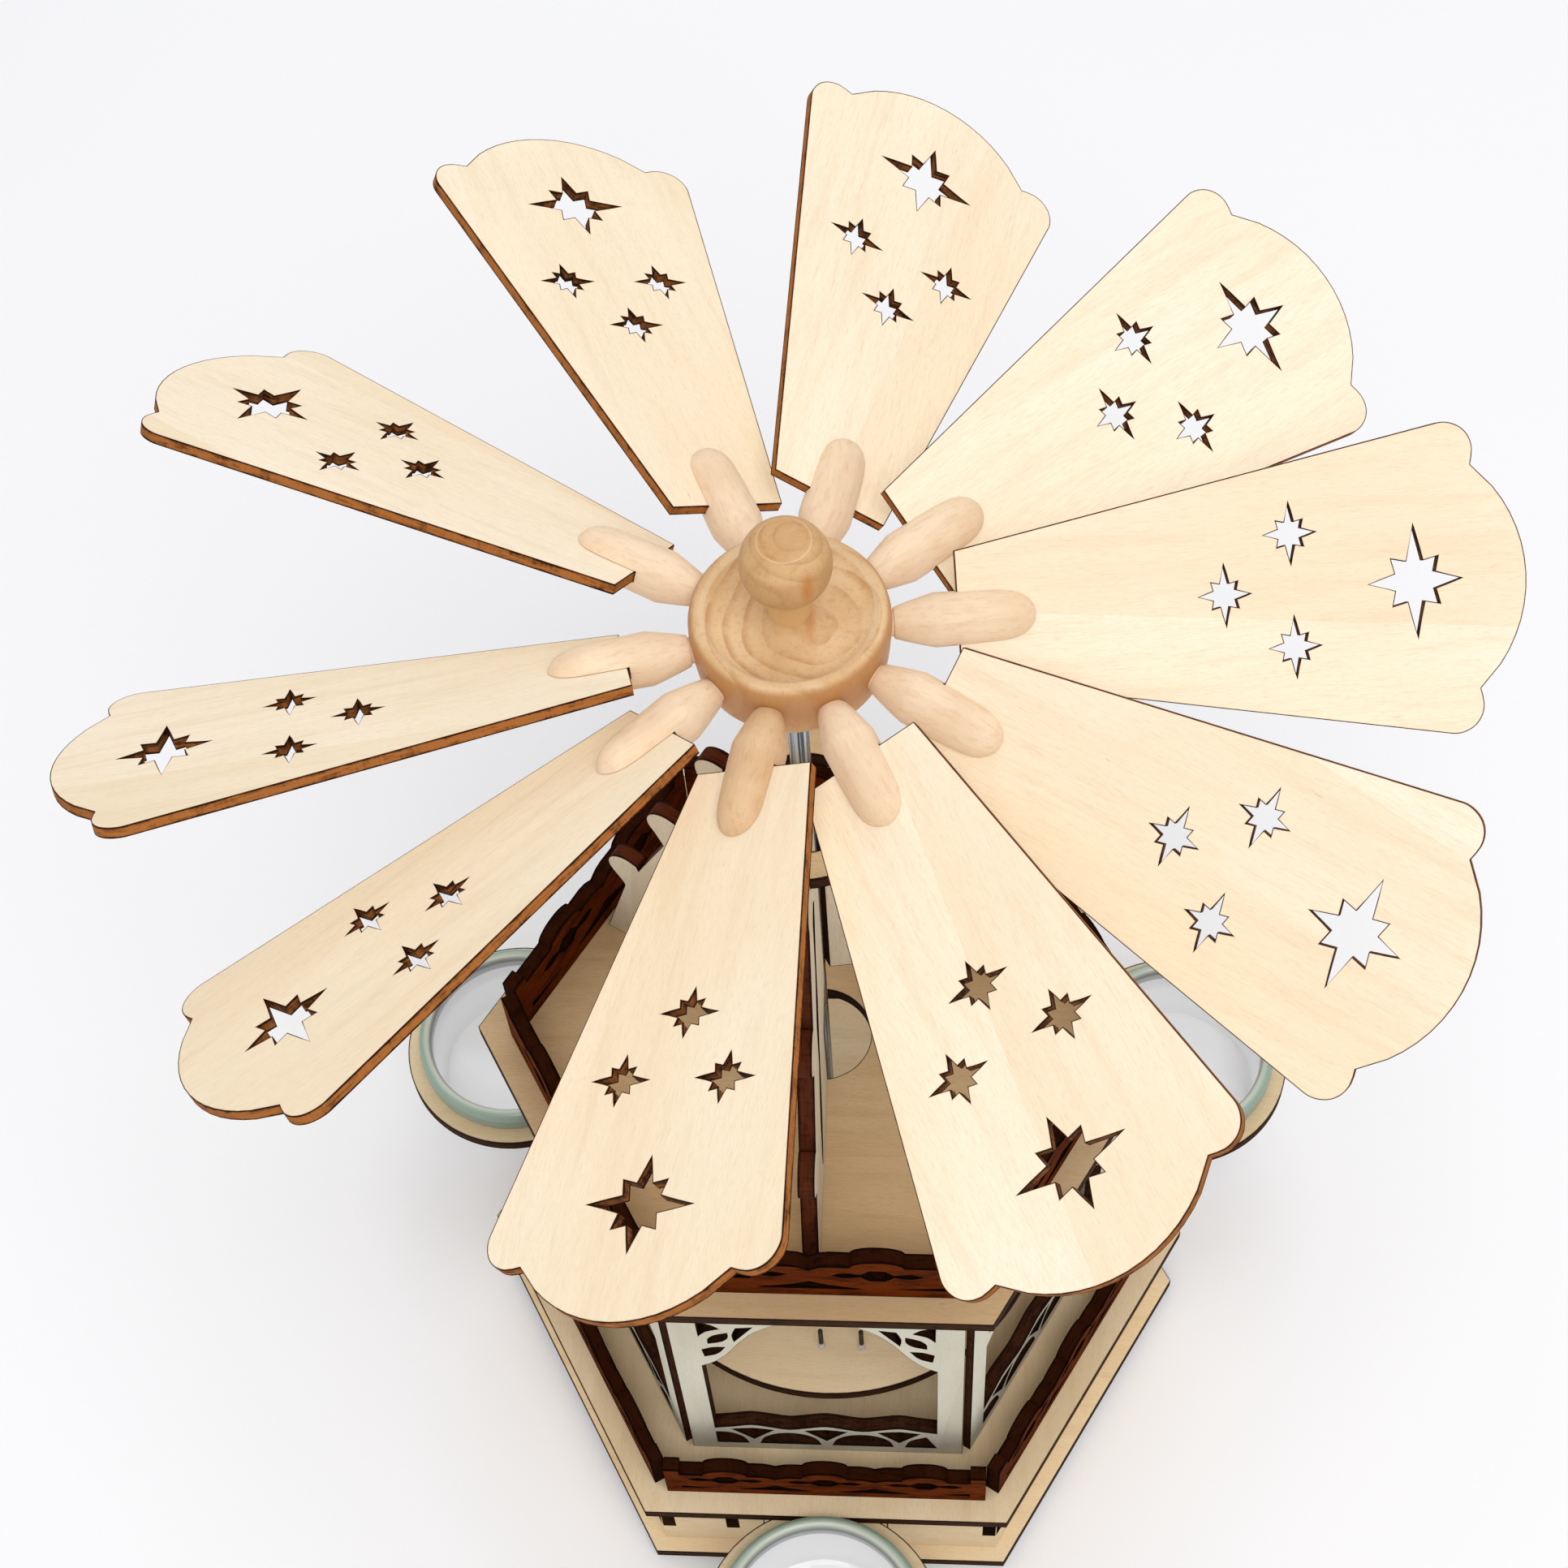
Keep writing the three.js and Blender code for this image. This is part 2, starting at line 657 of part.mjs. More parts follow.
// Hub, knob, pegs and blades
function aim(geometry, index) {
  const droop = radians(bladeDroops[index]);
  const azimuth = radians(rotorRestDegrees + (360 / bladeCount) * index + bladeTurns[index]);
  geometry.rotateY(droop);
  geometry.rotateZ(azimuth);
  geometry.translate(0, 0, pegAxisHeight);
  return geometry;
}

function pegTurned(profile, faces) {
  const geometry = new THREE.LatheGeometry(profile.map(([x, r]) => new THREE.Vector2(r, x)), faces);
  geometry.rotateZ(-Math.PI / 2);
  return geometry;
}

const hubBody = turned([
  [0, hubBottom],
  [hubBottomRadius, hubBottom],
  [hubRimRadius * 0.98, hubBottom + hubHeight * 0.3],
  [hubRimRadius, hubBottom + hubHeight * 0.75],
  [hubRimRadius * 0.97, hubBottom + hubHeight * 0.94],
  [hubRimRadius * 0.9, hubRimTop],
  [hubRimRadius * 0.6, hubDishTop + hubDishDepth * 0.2],
  [knobNeckRadius * 1.3, hubDishTop],
  [0, hubDishTop],
]);
const sockets = bladeTurns.map((turn, index) => aim(pegTurned([
  [pegSocketInner, 0],
  [pegSocketInner, pegSocketRadius],
  [pegTip, pegSocketRadius],
  [pegTip, 0],
], pegFaces), index));
const shaftBore = rod(boreRadius, hubBottom - sheet, shaftTop + seatGap, 0, 0, pegFaces);
place('hub', cutAway(hubBody, [...sockets, shaftBore]), turnedHoney);

const knobTop = knobCentre + Math.sqrt(knobRadius ** 2 - knobFlatRadius ** 2);
const knobProfile = [[0, hubDishTop], [knobNeckRadius, hubDishTop]];
const ballFrom = -Math.acos(knobNeckRadius / knobRadius);
const ballTo = Math.acos(knobFlatRadius / knobRadius);
const ballSteps = 6;
for (let i = 0; i <= ballSteps; i += 1) {
  const angle = ballFrom + ((ballTo - ballFrom) * i) / ballSteps;
  knobProfile.push([knobRadius * Math.cos(angle), knobCentre + knobRadius * Math.sin(angle)]);
}
knobProfile.push([knobFlatRadius * 0.6, knobTop + knobCrown * 0.7], [0, knobTop + knobCrown]);
place('knob', turned(knobProfile), turnedHoney);

// A star with long points sideways, shorter ones along the blade and small ones between them
function star(x, y, size) {
  const points = [];
  for (let i = 0; i < 16; i += 1) {
    const kind = i % 4;
    const angle = (i * Math.PI) / 8;
    let reach = size * 0.375;
    if (kind === 0) reach = i % 8 === 0 ? size * 0.81 : size;
    if (kind === 2) reach = size * 0.58;
    points.push([x + reach * Math.cos(angle), y + reach * Math.sin(angle)]);
  }
  return points;
}

function bladePlate() {
  const half = [[bladeRoot, bladeRootHalfWidth], [bladeShoulder - bladeEarRadius * 0.2, bladeTipHalfWidth]];
  const earSide = bladeTipHalfWidth - bladeEarRadius;
  half.push(...arcPoints(bladeShoulder, earSide, bladeEarRadius, 72, 0, arcSteps - 1));
  half.push([bladeNotchReach, bladeNotchSide]);
  const rise = bladeTip - bladeNotchReach;
  const bow = (bladeNotchSide ** 2 + rise ** 2) / (2 * rise);
  const span = THREE.MathUtils.radToDeg(Math.asin(bladeNotchSide / bow));
  const tip = arcPoints(bladeTip - bow, 0, bow, span, -span, arcSteps * 2);
  const upper = half.slice();
  const lower = half.map(([u, v]) => [u, -v]).reverse();
  const outline = [...upper, ...tip.slice(1, -1), ...lower];
  const shifted = outline.reverse().map(([u, v]) => [u, v + bladeSideShift]);
  const stars = [
    star(largeStarReach, bladeSideShift, largeStarSize),
    star(pairStarReach, bladeSideShift + pairStarSide, smallStarSize),
    star(pairStarReach, bladeSideShift - pairStarSide, smallStarSize),
    star(innerStarReach, bladeSideShift, smallStarSize),
  ];
  return pierced(shifted, stars, -bladeSheet / 2, bladeSheet);
}

const bladeBlank = bladePlate();
const pegProfile = [
  [pegTenonInner, 0],
  [pegTenonInner, pegTenonRadius],
  [pegShoulder, pegTenonRadius],
  [pegShoulder, pegNeckRadius],
  [pegBelly, pegBellyRadius],
  [pegTip - pegEndLength, pegBellyRadius * 0.93],
  [pegTip - pegEndLength * 0.45, pegBellyRadius * 0.74],
  [pegTip - pegEndLength * 0.12, pegBellyRadius * 0.42],
  [pegTip, 0],
];
bladeTurns.forEach((turn, index) => {
  const pitch = radians(bladePitches[index]);
  const slotDepth = pegTip - pegSlotStart;
  const slotTool = new THREE.BoxGeometry(slotDepth + sheet, pegBellyRadius * 4, bladeSheet + 2 * seatGap);
  slotTool.translate(pegSlotStart + (slotDepth + sheet) / 2, 0, 0);
  const peg = cutAway(pegTurned(pegProfile, pegFaces), [slotTool]);
  peg.rotateX(pitch);
  place(`blade_peg_${index + 1}`, aim(peg, index), turnedBeech);
  const blade = bladeBlank.clone();
  blade.rotateX(pitch);
  place(`blade_${index + 1}`, aim(blade, index), paleWood);
});

export default pyramid;
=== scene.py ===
import json
import math

import bmesh
import bpy
from mathutils import Matrix, Vector


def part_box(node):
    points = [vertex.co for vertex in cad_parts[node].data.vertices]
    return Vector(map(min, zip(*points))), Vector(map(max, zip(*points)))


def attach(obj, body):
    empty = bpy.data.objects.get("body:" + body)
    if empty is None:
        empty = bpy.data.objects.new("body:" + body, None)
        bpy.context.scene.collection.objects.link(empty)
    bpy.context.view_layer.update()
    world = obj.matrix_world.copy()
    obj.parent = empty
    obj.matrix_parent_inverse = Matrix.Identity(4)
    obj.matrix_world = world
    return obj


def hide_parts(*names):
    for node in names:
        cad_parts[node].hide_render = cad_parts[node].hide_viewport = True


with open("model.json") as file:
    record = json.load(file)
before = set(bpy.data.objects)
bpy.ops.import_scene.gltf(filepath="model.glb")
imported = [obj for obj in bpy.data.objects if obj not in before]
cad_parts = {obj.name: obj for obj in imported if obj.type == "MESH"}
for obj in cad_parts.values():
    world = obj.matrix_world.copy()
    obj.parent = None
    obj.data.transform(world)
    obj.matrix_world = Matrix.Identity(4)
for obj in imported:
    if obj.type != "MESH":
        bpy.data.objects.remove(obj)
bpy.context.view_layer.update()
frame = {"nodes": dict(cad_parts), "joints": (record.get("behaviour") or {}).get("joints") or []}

# Base plate: a hexagon of pale birch plywood cut by a laser, the lowest sheet of the stand.
# The laser scorches each cut edge dark brown, so the plies show as fine stripes under the soot,
# and a thin brown line of smoke runs round every outline on both faces.


class Wire:
    """A shader socket that takes part in sums; node() adds any other node and returns an output."""

    def __init__(self, tree, socket=None):
        self.tree = tree
        self.socket = socket

    def node(self, kind, settings=(), inputs=(), out=0):
        made = self.tree.nodes.new("ShaderNode" + kind)
        for key, value in dict(settings).items():
            if key == "stops":
                while len(made.color_ramp.elements) < len(value):
                    made.color_ramp.elements.new(0.5)
                for element, (at, colour) in zip(made.color_ramp.elements, value):
                    element.position = at
                    element.color = colour
            else:
                setattr(made, key, value)
        for key, value in dict(inputs).items():
            if isinstance(value, Wire):
                self.tree.links.new(value.socket, made.inputs[key])
            else:
                made.inputs[key].default_value = value
        return Wire(self.tree, made.outputs[out])

    def sum(self, operation, first, second):
        return self.node("Math", {"operation": operation}, {0: first, 1: second})

    def __add__(self, other):
        return self.sum("ADD", self, other)

    def __radd__(self, other):
        return self.sum("ADD", other, self)

    def __sub__(self, other):
        return self.sum("SUBTRACT", self, other)

    def __rsub__(self, other):
        return self.sum("SUBTRACT", other, self)

    def __mul__(self, other):
        return self.sum("MULTIPLY", self, other)

    def __rmul__(self, other):
        return self.sum("MULTIPLY", other, self)

    def __abs__(self):
        return self.node("Math", {"operation": "ABSOLUTE"}, {0: self})

    def step(self, low, high):
        settings = {"interpolation_type": "SMOOTHSTEP"}
        return self.node("MapRange", settings, {0: self, 1: low, 2: high, 3: 0.0, 4: 1.0})

    def mix(self, first, second):
        settings = {"data_type": "RGBA", "blend_type": "MIX"}
        return self.node("Mix", settings, {0: self, 6: first, 7: second}, 2)

    def stretched(self, factors):
        return self.node("VectorMath", {"operation": "MULTIPLY"}, {0: self, 1: factors})

    def seen_from(self, spot):
        return self.node("VectorMath", {"operation": "SUBTRACT"}, {0: self, 1: spot})

    def length(self):
        return self.node("VectorMath", {"operation": "LENGTH"}, {0: self}, 1)

    def height(self):
        return self.node("SeparateXYZ", {}, {0: self}, 2)

    def noise(self, scale, detail=3.0, roughness=0.5, distortion=0.0):
        inputs = {"Vector": self, "Scale": scale, "Detail": detail, "Roughness": roughness}
        inputs["Distortion"] = distortion
        return self.node("TexNoise", {}, inputs)


def paint(red, green, blue):
    """A colour given in screen values, as the light it stands for."""
    shares = [value / 255 for value in (red, green, blue)]
    return tuple(s / 12.92 if s <= 0.04045 else ((s + 0.055) / 1.055) ** 2.4 for s in shares) + (1.0,)


def new_finish(name):
    finish = bpy.data.materials.new(name)
    finish.use_nodes = True
    shader = finish.node_tree.nodes["Principled BSDF"]
    return finish, Wire(finish.node_tree), shader


def feed(wire, shader, socket):
    wire.tree.links.new(wire.socket, shader.inputs[socket])


def sheet_finish(
    name, pale, warm, line, grain, core, char,
    shine=0.62, strips=0.5, wash=0.0, gloss=0.06, mottle=0.0
):
    """Sheet wood: fibres and veneer strips, scorched outlines, burnt edges, painted shade in holes.

    Pale and warm are the wood's two tones, line the fibres' and core and char those of burnt edges.
    Grain is the strength of the fibres, strips the share of the veneer strips in the tone, wash how
    far a white coat has worn off and mottle how blotchy a stain has dried.
    """
    finish, start, shader = new_finish(name)
    place = start.node("Attribute", {"attribute_name": "sheet_place"}, {}, 1)
    scorch = start.node("Attribute", {"attribute_name": "scorch"}, {}, 2)
    depth = start.node("Attribute", {"attribute_name": "sheet_depth"}, {}, 2)
    pierced = start.node("Attribute", {"attribute_name": "pierced"}, {}, 2)
    streak = place.stretched((0.03, 0.34, 0.3)).noise(1.0, 5.0, 0.62, 0.3)
    fibre = place.stretched((0.26, 3.4, 2.0)).noise(1.0, 3.0, 0.62)
    hair = place.stretched((0.75, 9.0, 3.0)).noise(1.0, 1.0, 0.5)
    cloud = place.stretched((0.02, 0.05, 0.02)).noise(1.0, 3.0)
    across = (0.0034, 0.033, 0.0)
    lean = place.node("VectorMath", {"operation": "DOT_PRODUCT"}, {0: place, 1: across}, 1)
    strip = lean.node("TexVoronoi", {"voronoi_dimensions": "1D"}, {"W": lean, "Scale": 1.0}, 1)
    fleck = place.stretched((0.2, 0.9, 1.0)).noise(1.0, 2.0, 0.5).step(0.74, 0.8)
    tone = (strip * strips + cloud * (1.0 - strips)).step(0.28, 0.72)
    wood = tone.mix(pale, warm)
    wood = (streak.step(0.45, 0.75) * grain * 0.55).mix(wood, line)
    wood = (fibre.step(0.46, 0.78) * grain * 0.7).mix(wood, line)
    wood = (hair.step(0.48, 0.8) * grain * 0.8).mix(wood, line)
    wood = (fleck * grain * 0.5).mix(wood, core)
    if wash:
        worn = place.stretched((0.25, 0.9, 0.9)).noise(1.0, 4.0, 0.6).step(0.4, 0.85)
        wood = (worn * wash).mix(wood, warm)
    if mottle:
        stain = place.stretched((0.16, 0.4, 0.3)).noise(1.0, 4.0, 0.65, 0.4).step(0.42, 0.66)
        wood = (stain * mottle).mix(wood, char)
    furrow = place.stretched((1.9, 1.9, 0.15)).noise(1.0, 2.0, 0.6)
    patch = place.stretched((0.22, 0.22, 0.3)).noise(1.0, 4.0, 0.7).step(0.45, 0.72)
    border = abs(depth - 0.5).step(0.27, 0.48)
    plies = place.stretched((0.3, 0.3, 2.2)).noise(1.0, 3.0, 0.6).step(0.42, 0.68)
    # The walls of holes are darkened further: painted shade that falls inside the holes.
    soot_and_hole_shade = furrow.step(0.35, 0.75) * 0.2 + patch * 0.4 + plies * 0.4 + border * 0.8 + pierced * 0.4
    burnt = soot_and_hole_shade.step(0.05, 1.05).mix(core, char)
    wobble = (place.noise(0.8, 2.0) - 0.5) * 0.3
    haze = (scorch + wobble).step(0.02, 0.75)
    colour = (haze * 0.3).mix(wood, core)
    colour = (scorch + wobble * 0.5).step(0.4, 0.72).mix(colour, char)
    wall = scorch.step(0.97, 0.995)
    colour = wall.mix(colour, burnt)
    feed(colour, shader, "Base Color")
    feed(shine + fibre * 0.12 + wall * 0.15, shader, "Roughness")
    relief = streak * 0.3 + fibre * 0.5 + hair * 0.25 + wall * furrow * 0.5
    bump = start.node("Bump", {}, {"Strength": 0.12, "Distance": 0.0004, "Height": relief})
    feed(bump, shader, "Normal")
    shader.inputs["Specular IOR Level"].default_value = gloss
    return finish


millimetres = 1000
sheet_offset = Vector((61.0, 37.0, 0.0))


def put_sheet_layers(bm):
    """All layers are made before any corner is remembered: a new layer makes bmesh forget them."""
    bm.verts.layers.float.new("scorch")
    bm.verts.layers.float.new("sheet_depth")
    bm.verts.layers.float.new("pierced")
    bm.verts.layers.float_vector.new("sheet_place")


def fill_sheet_layers(bm, along, across, shift, inside):
    """Stores how burnt each corner is, its share of the thickness and its place in millimetres.

    Each sheet has a shift of its own, so that no two show the same piece of veneer.
    """
    scorch = bm.verts.layers.float["scorch"]
    depth = bm.verts.layers.float["sheet_depth"]
    place = bm.verts.layers.float_vector["sheet_place"]
    through = along.cross(across)
    heights = {vert: vert.co.dot(through) for vert in bm.verts}
    low, high = min(heights.values()), max(heights.values())
    for vert in bm.verts:
        vert[scorch] = 0.0 if vert in inside else 1.0
        vert[depth] = (heights[vert] - low) / (high - low)
        spot = Vector((vert.co.dot(along), vert.co.dot(across), vert.co.dot(through)))
        vert[place] = spot * millimetres + sheet_offset * shift


def make_piece(name, bm, finish, body, replaced, smooth=None):
    """Turns a bmesh into a piece that rides on a body and stands for CAD nodes."""
    mesh = bpy.data.meshes.new(name)
    bm.to_mesh(mesh)
    bm.free()
    if smooth is not None:
        mesh.shade_smooth()
        mesh.set_sharp_from_angle(angle=math.radians(smooth))
    piece = bpy.data.objects.new(name, mesh)
    bpy.context.scene.collection.objects.link(piece)
    mesh.materials.append(finish)
    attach(piece, body)
    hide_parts(*replaced)
    return piece


weld = 2e-6
same_way = 0.95


def flat_regions(faces):
    """Groups faces that touch along an edge and look the same way."""
    waiting = dict.fromkeys(faces)
    while waiting:
        first = next(iter(waiting))
        del waiting[first]
        region, reached = {first: True}, [first]
        while reached:
            face = reached.pop()
            for edge in face.edges:
                for other in edge.link_faces:
                    if other in waiting and other.normal.dot(face.normal) > same_way:
                        del waiting[other]
                        region[other] = True
                        reached.append(other)
        yield region


def outlines_of(region):
    """The closed outlines of a flat region, each a list of corners with the wood on the left."""
    ahead = {}
    for face in region:
        for loop in face.loops:
            if sum(other in region for other in loop.edge.link_faces) == 1:
                ahead[loop.vert] = loop.link_loop_next.vert
    outlines = []
    while ahead:
        vert = next(iter(ahead))
        line = []
        while vert in ahead:
            line.append(vert)
            vert = ahead.pop(vert)
        outlines.append(line)
    return outlines


def outline_length(line):
    return sum((first.co - second.co).length for first, second in zip(line, line[1:]))


sharp_corner = math.radians(43)
far_longer = 2.6
degrees_per_point = 8


def evened(line, counts=None):
    """Adds points between the corners of each arc so that it bends evenly.

    Sharp corners stay as they are. Where an arc meets a straight cut, the cut sets the direction.
    """
    size = len(line)
    steps = [line[(i + 1) % size] - line[i] for i in range(size)]
    lengths = [max(step.length, 1e-9) for step in steps]
    ways = [step / length for step, length in zip(steps, lengths)]
    arriving, leaving = [], []
    for i in range(size):
        before, after = ways[i - 1], ways[i]
        if before.angle(after, 0) > sharp_corner:
            arriving.append(before)
            leaving.append(after)
            continue
        if lengths[i - 1] > far_longer * lengths[i]:
            way = before
        elif lengths[i] > far_longer * lengths[i - 1]:
            way = after
        else:
            way = (before * lengths[i] + after * lengths[i - 1]).normalized()
        arriving.append(way)
        leaving.append(way)
    points, used = [], []
    for i in range(size):
        start, end = line[i], line[(i + 1) % size]
        way_out, way_in = leaving[i] * lengths[i], arriving[(i + 1) % size] * lengths[i]
        if counts:
            count = counts[i]
        else:
            count = 1 + int(math.degrees(way_out.angle(way_in, 0)) / degrees_per_point)
        used.append(count)
        for j in range(count):
            t = j / count
            bent = start * (2 * t**3 - 3 * t**2 + 1) + end * (3 * t**2 - 2 * t**3)
            points.append(bent + way_out * (t**3 - 2 * t**2 + t) + way_in * (t**3 - t**2))
    return points, used


sharpest_mitre = 0.3
longest_mitre = 2


def drawn_in(line, through, rim):
    """The same outline moved into the wood by the rim's width, or by twice that at sharp corners."""
    size = len(line)
    inner = []
    for i in range(size):
        first = through.cross(line[i] - line[i - 1]).normalized()
        second = through.cross(line[(i + 1) % size] - line[i]).normalized()
        shift = (first + second) / max(1 + first.dot(second), sharpest_mitre) * rim
        if shift.length > rim * longest_mitre:
            shift = shift.normalized() * rim * longest_mitre
        inner.append(line[i] + shift)
    return inner


def dress_sheet(node, along, across, finish, body="stand", shift=0, rim=0.0003):
    """Draws a cut sheet from its outlines: even arcs, burnt walls and scorched lines on both faces."""
    through = along.cross(across).normalized()
    cut = bmesh.new()
    cut.from_mesh(frame["nodes"][node].data)
    bmesh.ops.remove_doubles(cut, verts=cut.verts, dist=weld)
    bm = bmesh.new()
    put_sheet_layers(bm)
    inside, holes = set(), set()
    front_faces = [face for face in cut.faces if face.normal.dot(through) > same_way]
    for region in list(flat_regions(front_faces)):
        face_corners = {vert for face in region for vert in face.verts}
        front_rings, back_rings = [], []
        outlines = outlines_of(region)
        longest = max(outlines, key=outline_length)
        for outline in outlines:
            behind = []
            for vert in outline:
                others = [edge.other_vert(vert) for edge in vert.link_edges]
                others = [other for other in others if other not in face_corners]
                nearest = min(others, key=lambda other: (other.co - vert.co).length)
                behind.append(nearest.co.copy())
            front, counts = evened([vert.co.copy() for vert in outline])
            back = evened(behind, counts)[0]
            front_verts = [bm.verts.new(point) for point in front]
            back_verts = [bm.verts.new(point) for point in back]
            front_inner = [bm.verts.new(point) for point in drawn_in(front, through, rim)]
            back_inner = [bm.verts.new(point) for point in drawn_in(back, through, rim)]
            inside.update(front_inner + back_inner)
            if outline is not longest:
                holes.update(front_verts + back_verts)
            size = len(front)
            for i in range(size):
                j = (i + 1) % size
                bm.faces.new((front_verts[i], back_verts[i], back_verts[j], front_verts[j]))
                bm.faces.new((front_verts[i], front_verts[j], front_inner[j], front_inner[i]))
                bm.faces.new((back_verts[j], back_verts[i], back_inner[i], back_inner[j]))
            front_rings.append(front_inner)
            back_rings.append(back_inner)
        for rings, up in ((front_rings, through), (back_rings, -through)):
            edges = [bm.edges.get((ring[i - 1], ring[i])) for ring in rings for i in range(len(ring))]
            bmesh.ops.triangle_fill(
                bm, use_beauty=True, use_dissolve=False, edges=edges, normal=up
            )
    cut.free()
    bmesh.ops.recalc_face_normals(bm, faces=bm.faces)
    fill_sheet_layers(bm, along, across, shift, inside)
    # Corners on the outlines of holes carry the painted shade for the walls of the holes.
    pierced = bm.verts.layers.float["pierced"]
    for vert in holes:
        vert[pierced] = 1.0
    return make_piece(node + "_sheet", bm, finish, body, [node], smooth=25)


x_axis = Vector((1, 0, 0))
y_axis = Vector((0, 1, 0))
z_axis = Vector((0, 0, 1))
deck_finish = sheet_finish(
    "deck_plywood", paint(238, 217, 182), paint(228, 203, 163), paint(204, 172, 128), 0.5,
    paint(62, 36, 19), paint(30, 17, 10), strips=0.35
)
dress_sheet("base_plate", x_axis, y_axis, deck_finish, shift=1)

# Box wall: six short boards glued into a hexagon on the base plate, with slots for the deck's tabs.
# It carries the candle plate and the lower deck. Its faces are pale, its edges and slots scorched.
sides = [Vector((math.cos(a), math.sin(a), 0)) for a in (math.radians(30 + 60 * k) for k in range(6))]
squarely = 0.99
wall_reach = 0.058
board_grain = Vector((0.8, 0.6, 0))
bm = bmesh.new()
bm.from_mesh(frame["nodes"]["base_wall"].data)
bmesh.ops.remove_doubles(bm, verts=bm.verts, dist=weld)
put_sheet_layers(bm)
boards = set()
for face in bm.faces:
    centre = face.calc_center_median()
    looks_out = max(abs(face.normal.dot(side)) for side in sides) > squarely
    if looks_out and max(centre.dot(side) for side in sides) > wall_reach:
        boards.add(face)
rims = [edge for edge in bm.edges if sum(face in boards for face in edge.link_faces) == 1]
bmesh.ops.split_edges(bm, edges=rims)
board_corners = {vert for face in bm.faces if face in boards for vert in face.verts}
fill_sheet_layers(bm, board_grain, z_axis, 2, board_corners)
make_piece("base_wall_boards", bm, deck_finish, "stand", ["base_wall"])

# Candle plate: one sheet between box wall and lower deck, with three ring-shaped arms for the cups.
# The rings are cut round, so they are turned here as smooth rings that join the hexagon under
# the deck.
arm_turns = (270, 30, 150)
sheet_wood = 0.003
cup_low, cup_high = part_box("glass_cup_1")
candle_reach = -(cup_low.y + cup_high.y) / 2
candle_ring = 0.025
candle_hole = 0.0202
arm_reach = 0.0605
arm_size = (0.0115, 0.026, 0.00298)
edge_line = 0.0005
hexagon_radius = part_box("base_wall")[1].y / math.cos(math.pi / 6)
plate_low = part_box("candle_plate")[0]
bm = bmesh.new()
bmesh.ops.create_circle(bm, cap_ends=True, radius=hexagon_radius, segments=6)
spread = bmesh.ops.extrude_face_region(bm, geom=bm.faces[:])["geom"]
upper_face = [item for item in spread if isinstance(item, bmesh.types.BMVert)]
bmesh.ops.translate(bm, verts=upper_face, vec=(0, 0, sheet_wood))
bmesh.ops.rotate(bm, verts=bm.verts, matrix=Matrix.Rotation(math.radians(-30), 3, "Z"))
for turn in arm_turns:
    angle = math.radians(turn)
    centre = Vector((candle_reach * math.cos(angle), candle_reach * math.sin(angle), 0))
    corners = [(candle_hole, 0), (candle_ring, 0)]
    corners += [(candle_ring, sheet_wood), (candle_hole, sheet_wood)]
    ring = [bm.verts.new(centre + Vector((r, 0, z))) for r, z in corners]
    edges = [bm.edges.new((ring[i], ring[(i + 1) % 4])) for i in range(4)]
    bmesh.ops.spin(
        bm, geom=ring + edges, cent=centre, axis=z_axis, angle=math.tau, steps=96, use_merge=True
    )
    arm = bmesh.ops.create_cube(bm, size=1.0)["verts"]
    bmesh.ops.scale(bm, verts=arm, vec=arm_size)
    bmesh.ops.translate(bm, verts=arm, vec=(arm_reach, 0, sheet_wood / 2))
    bmesh.ops.rotate(bm, verts=arm, matrix=Matrix.Rotation(angle, 3, "Z"))
bmesh.ops.remove_doubles(bm, verts=bm.verts, dist=weld)
bmesh.ops.recalc_face_normals(bm, faces=bm.faces)
bmesh.ops.translate(bm, verts=bm.verts, vec=(0, 0, plate_low.z))
put_sheet_layers(bm)
flats = [face for face in bm.faces if abs(face.normal.z) > 0.9]
bmesh.ops.inset_region(bm, faces=flats, thickness=edge_line, use_boundary=True, use_even_offset=True)
fill_sheet_layers(bm, x_axis, y_axis, 3, {vert for face in flats for vert in face.verts})
make_piece(
    "candle_plate_rings", bm, deck_finish, "stand", ["candle_plate"], smooth=30
)

# Candle cups: three pressed cups of clear, faintly green glass that hang by their rims in the rings.
# The rim is thick and rounded, and the floor is a flat heavy disc. Painted dark and pale bands of
# reflection and highlight run round the rim. Inside, the wall has painted shade under the mouth
# and painted light, with a faint glow, that turns it paler towards the floor.
seat = 0.02905
rim_start = 18.7
rim_width = 3.125
wall_depth = 0.00625
glass, start, shader = new_finish("pressed_glass")
place = start.node("TexCoord", {}, {}, 3)
rise = place.height()
reach = start.node("Attribute", {"attribute_name": "cup_reach"}, {}, 2)
inner = 1.0 - reach.step(18.85, 19.0)
upper = rise.step(seat - 0.003, seat - 0.001)
# Painted reflection and highlight on the rim: a dark inner line, a pale band, then the glass's own
# green.
rim_painted_reflection_stops = (
    (0.0, paint(116, 112, 100)), (0.1, paint(132, 134, 124)), (0.2, paint(176, 182, 170)),
    (0.32, paint(214, 220, 210)), (0.5, paint(194, 204, 186)), (0.7, paint(156, 180, 164)),
    (1.0, paint(146, 164, 148)),
)
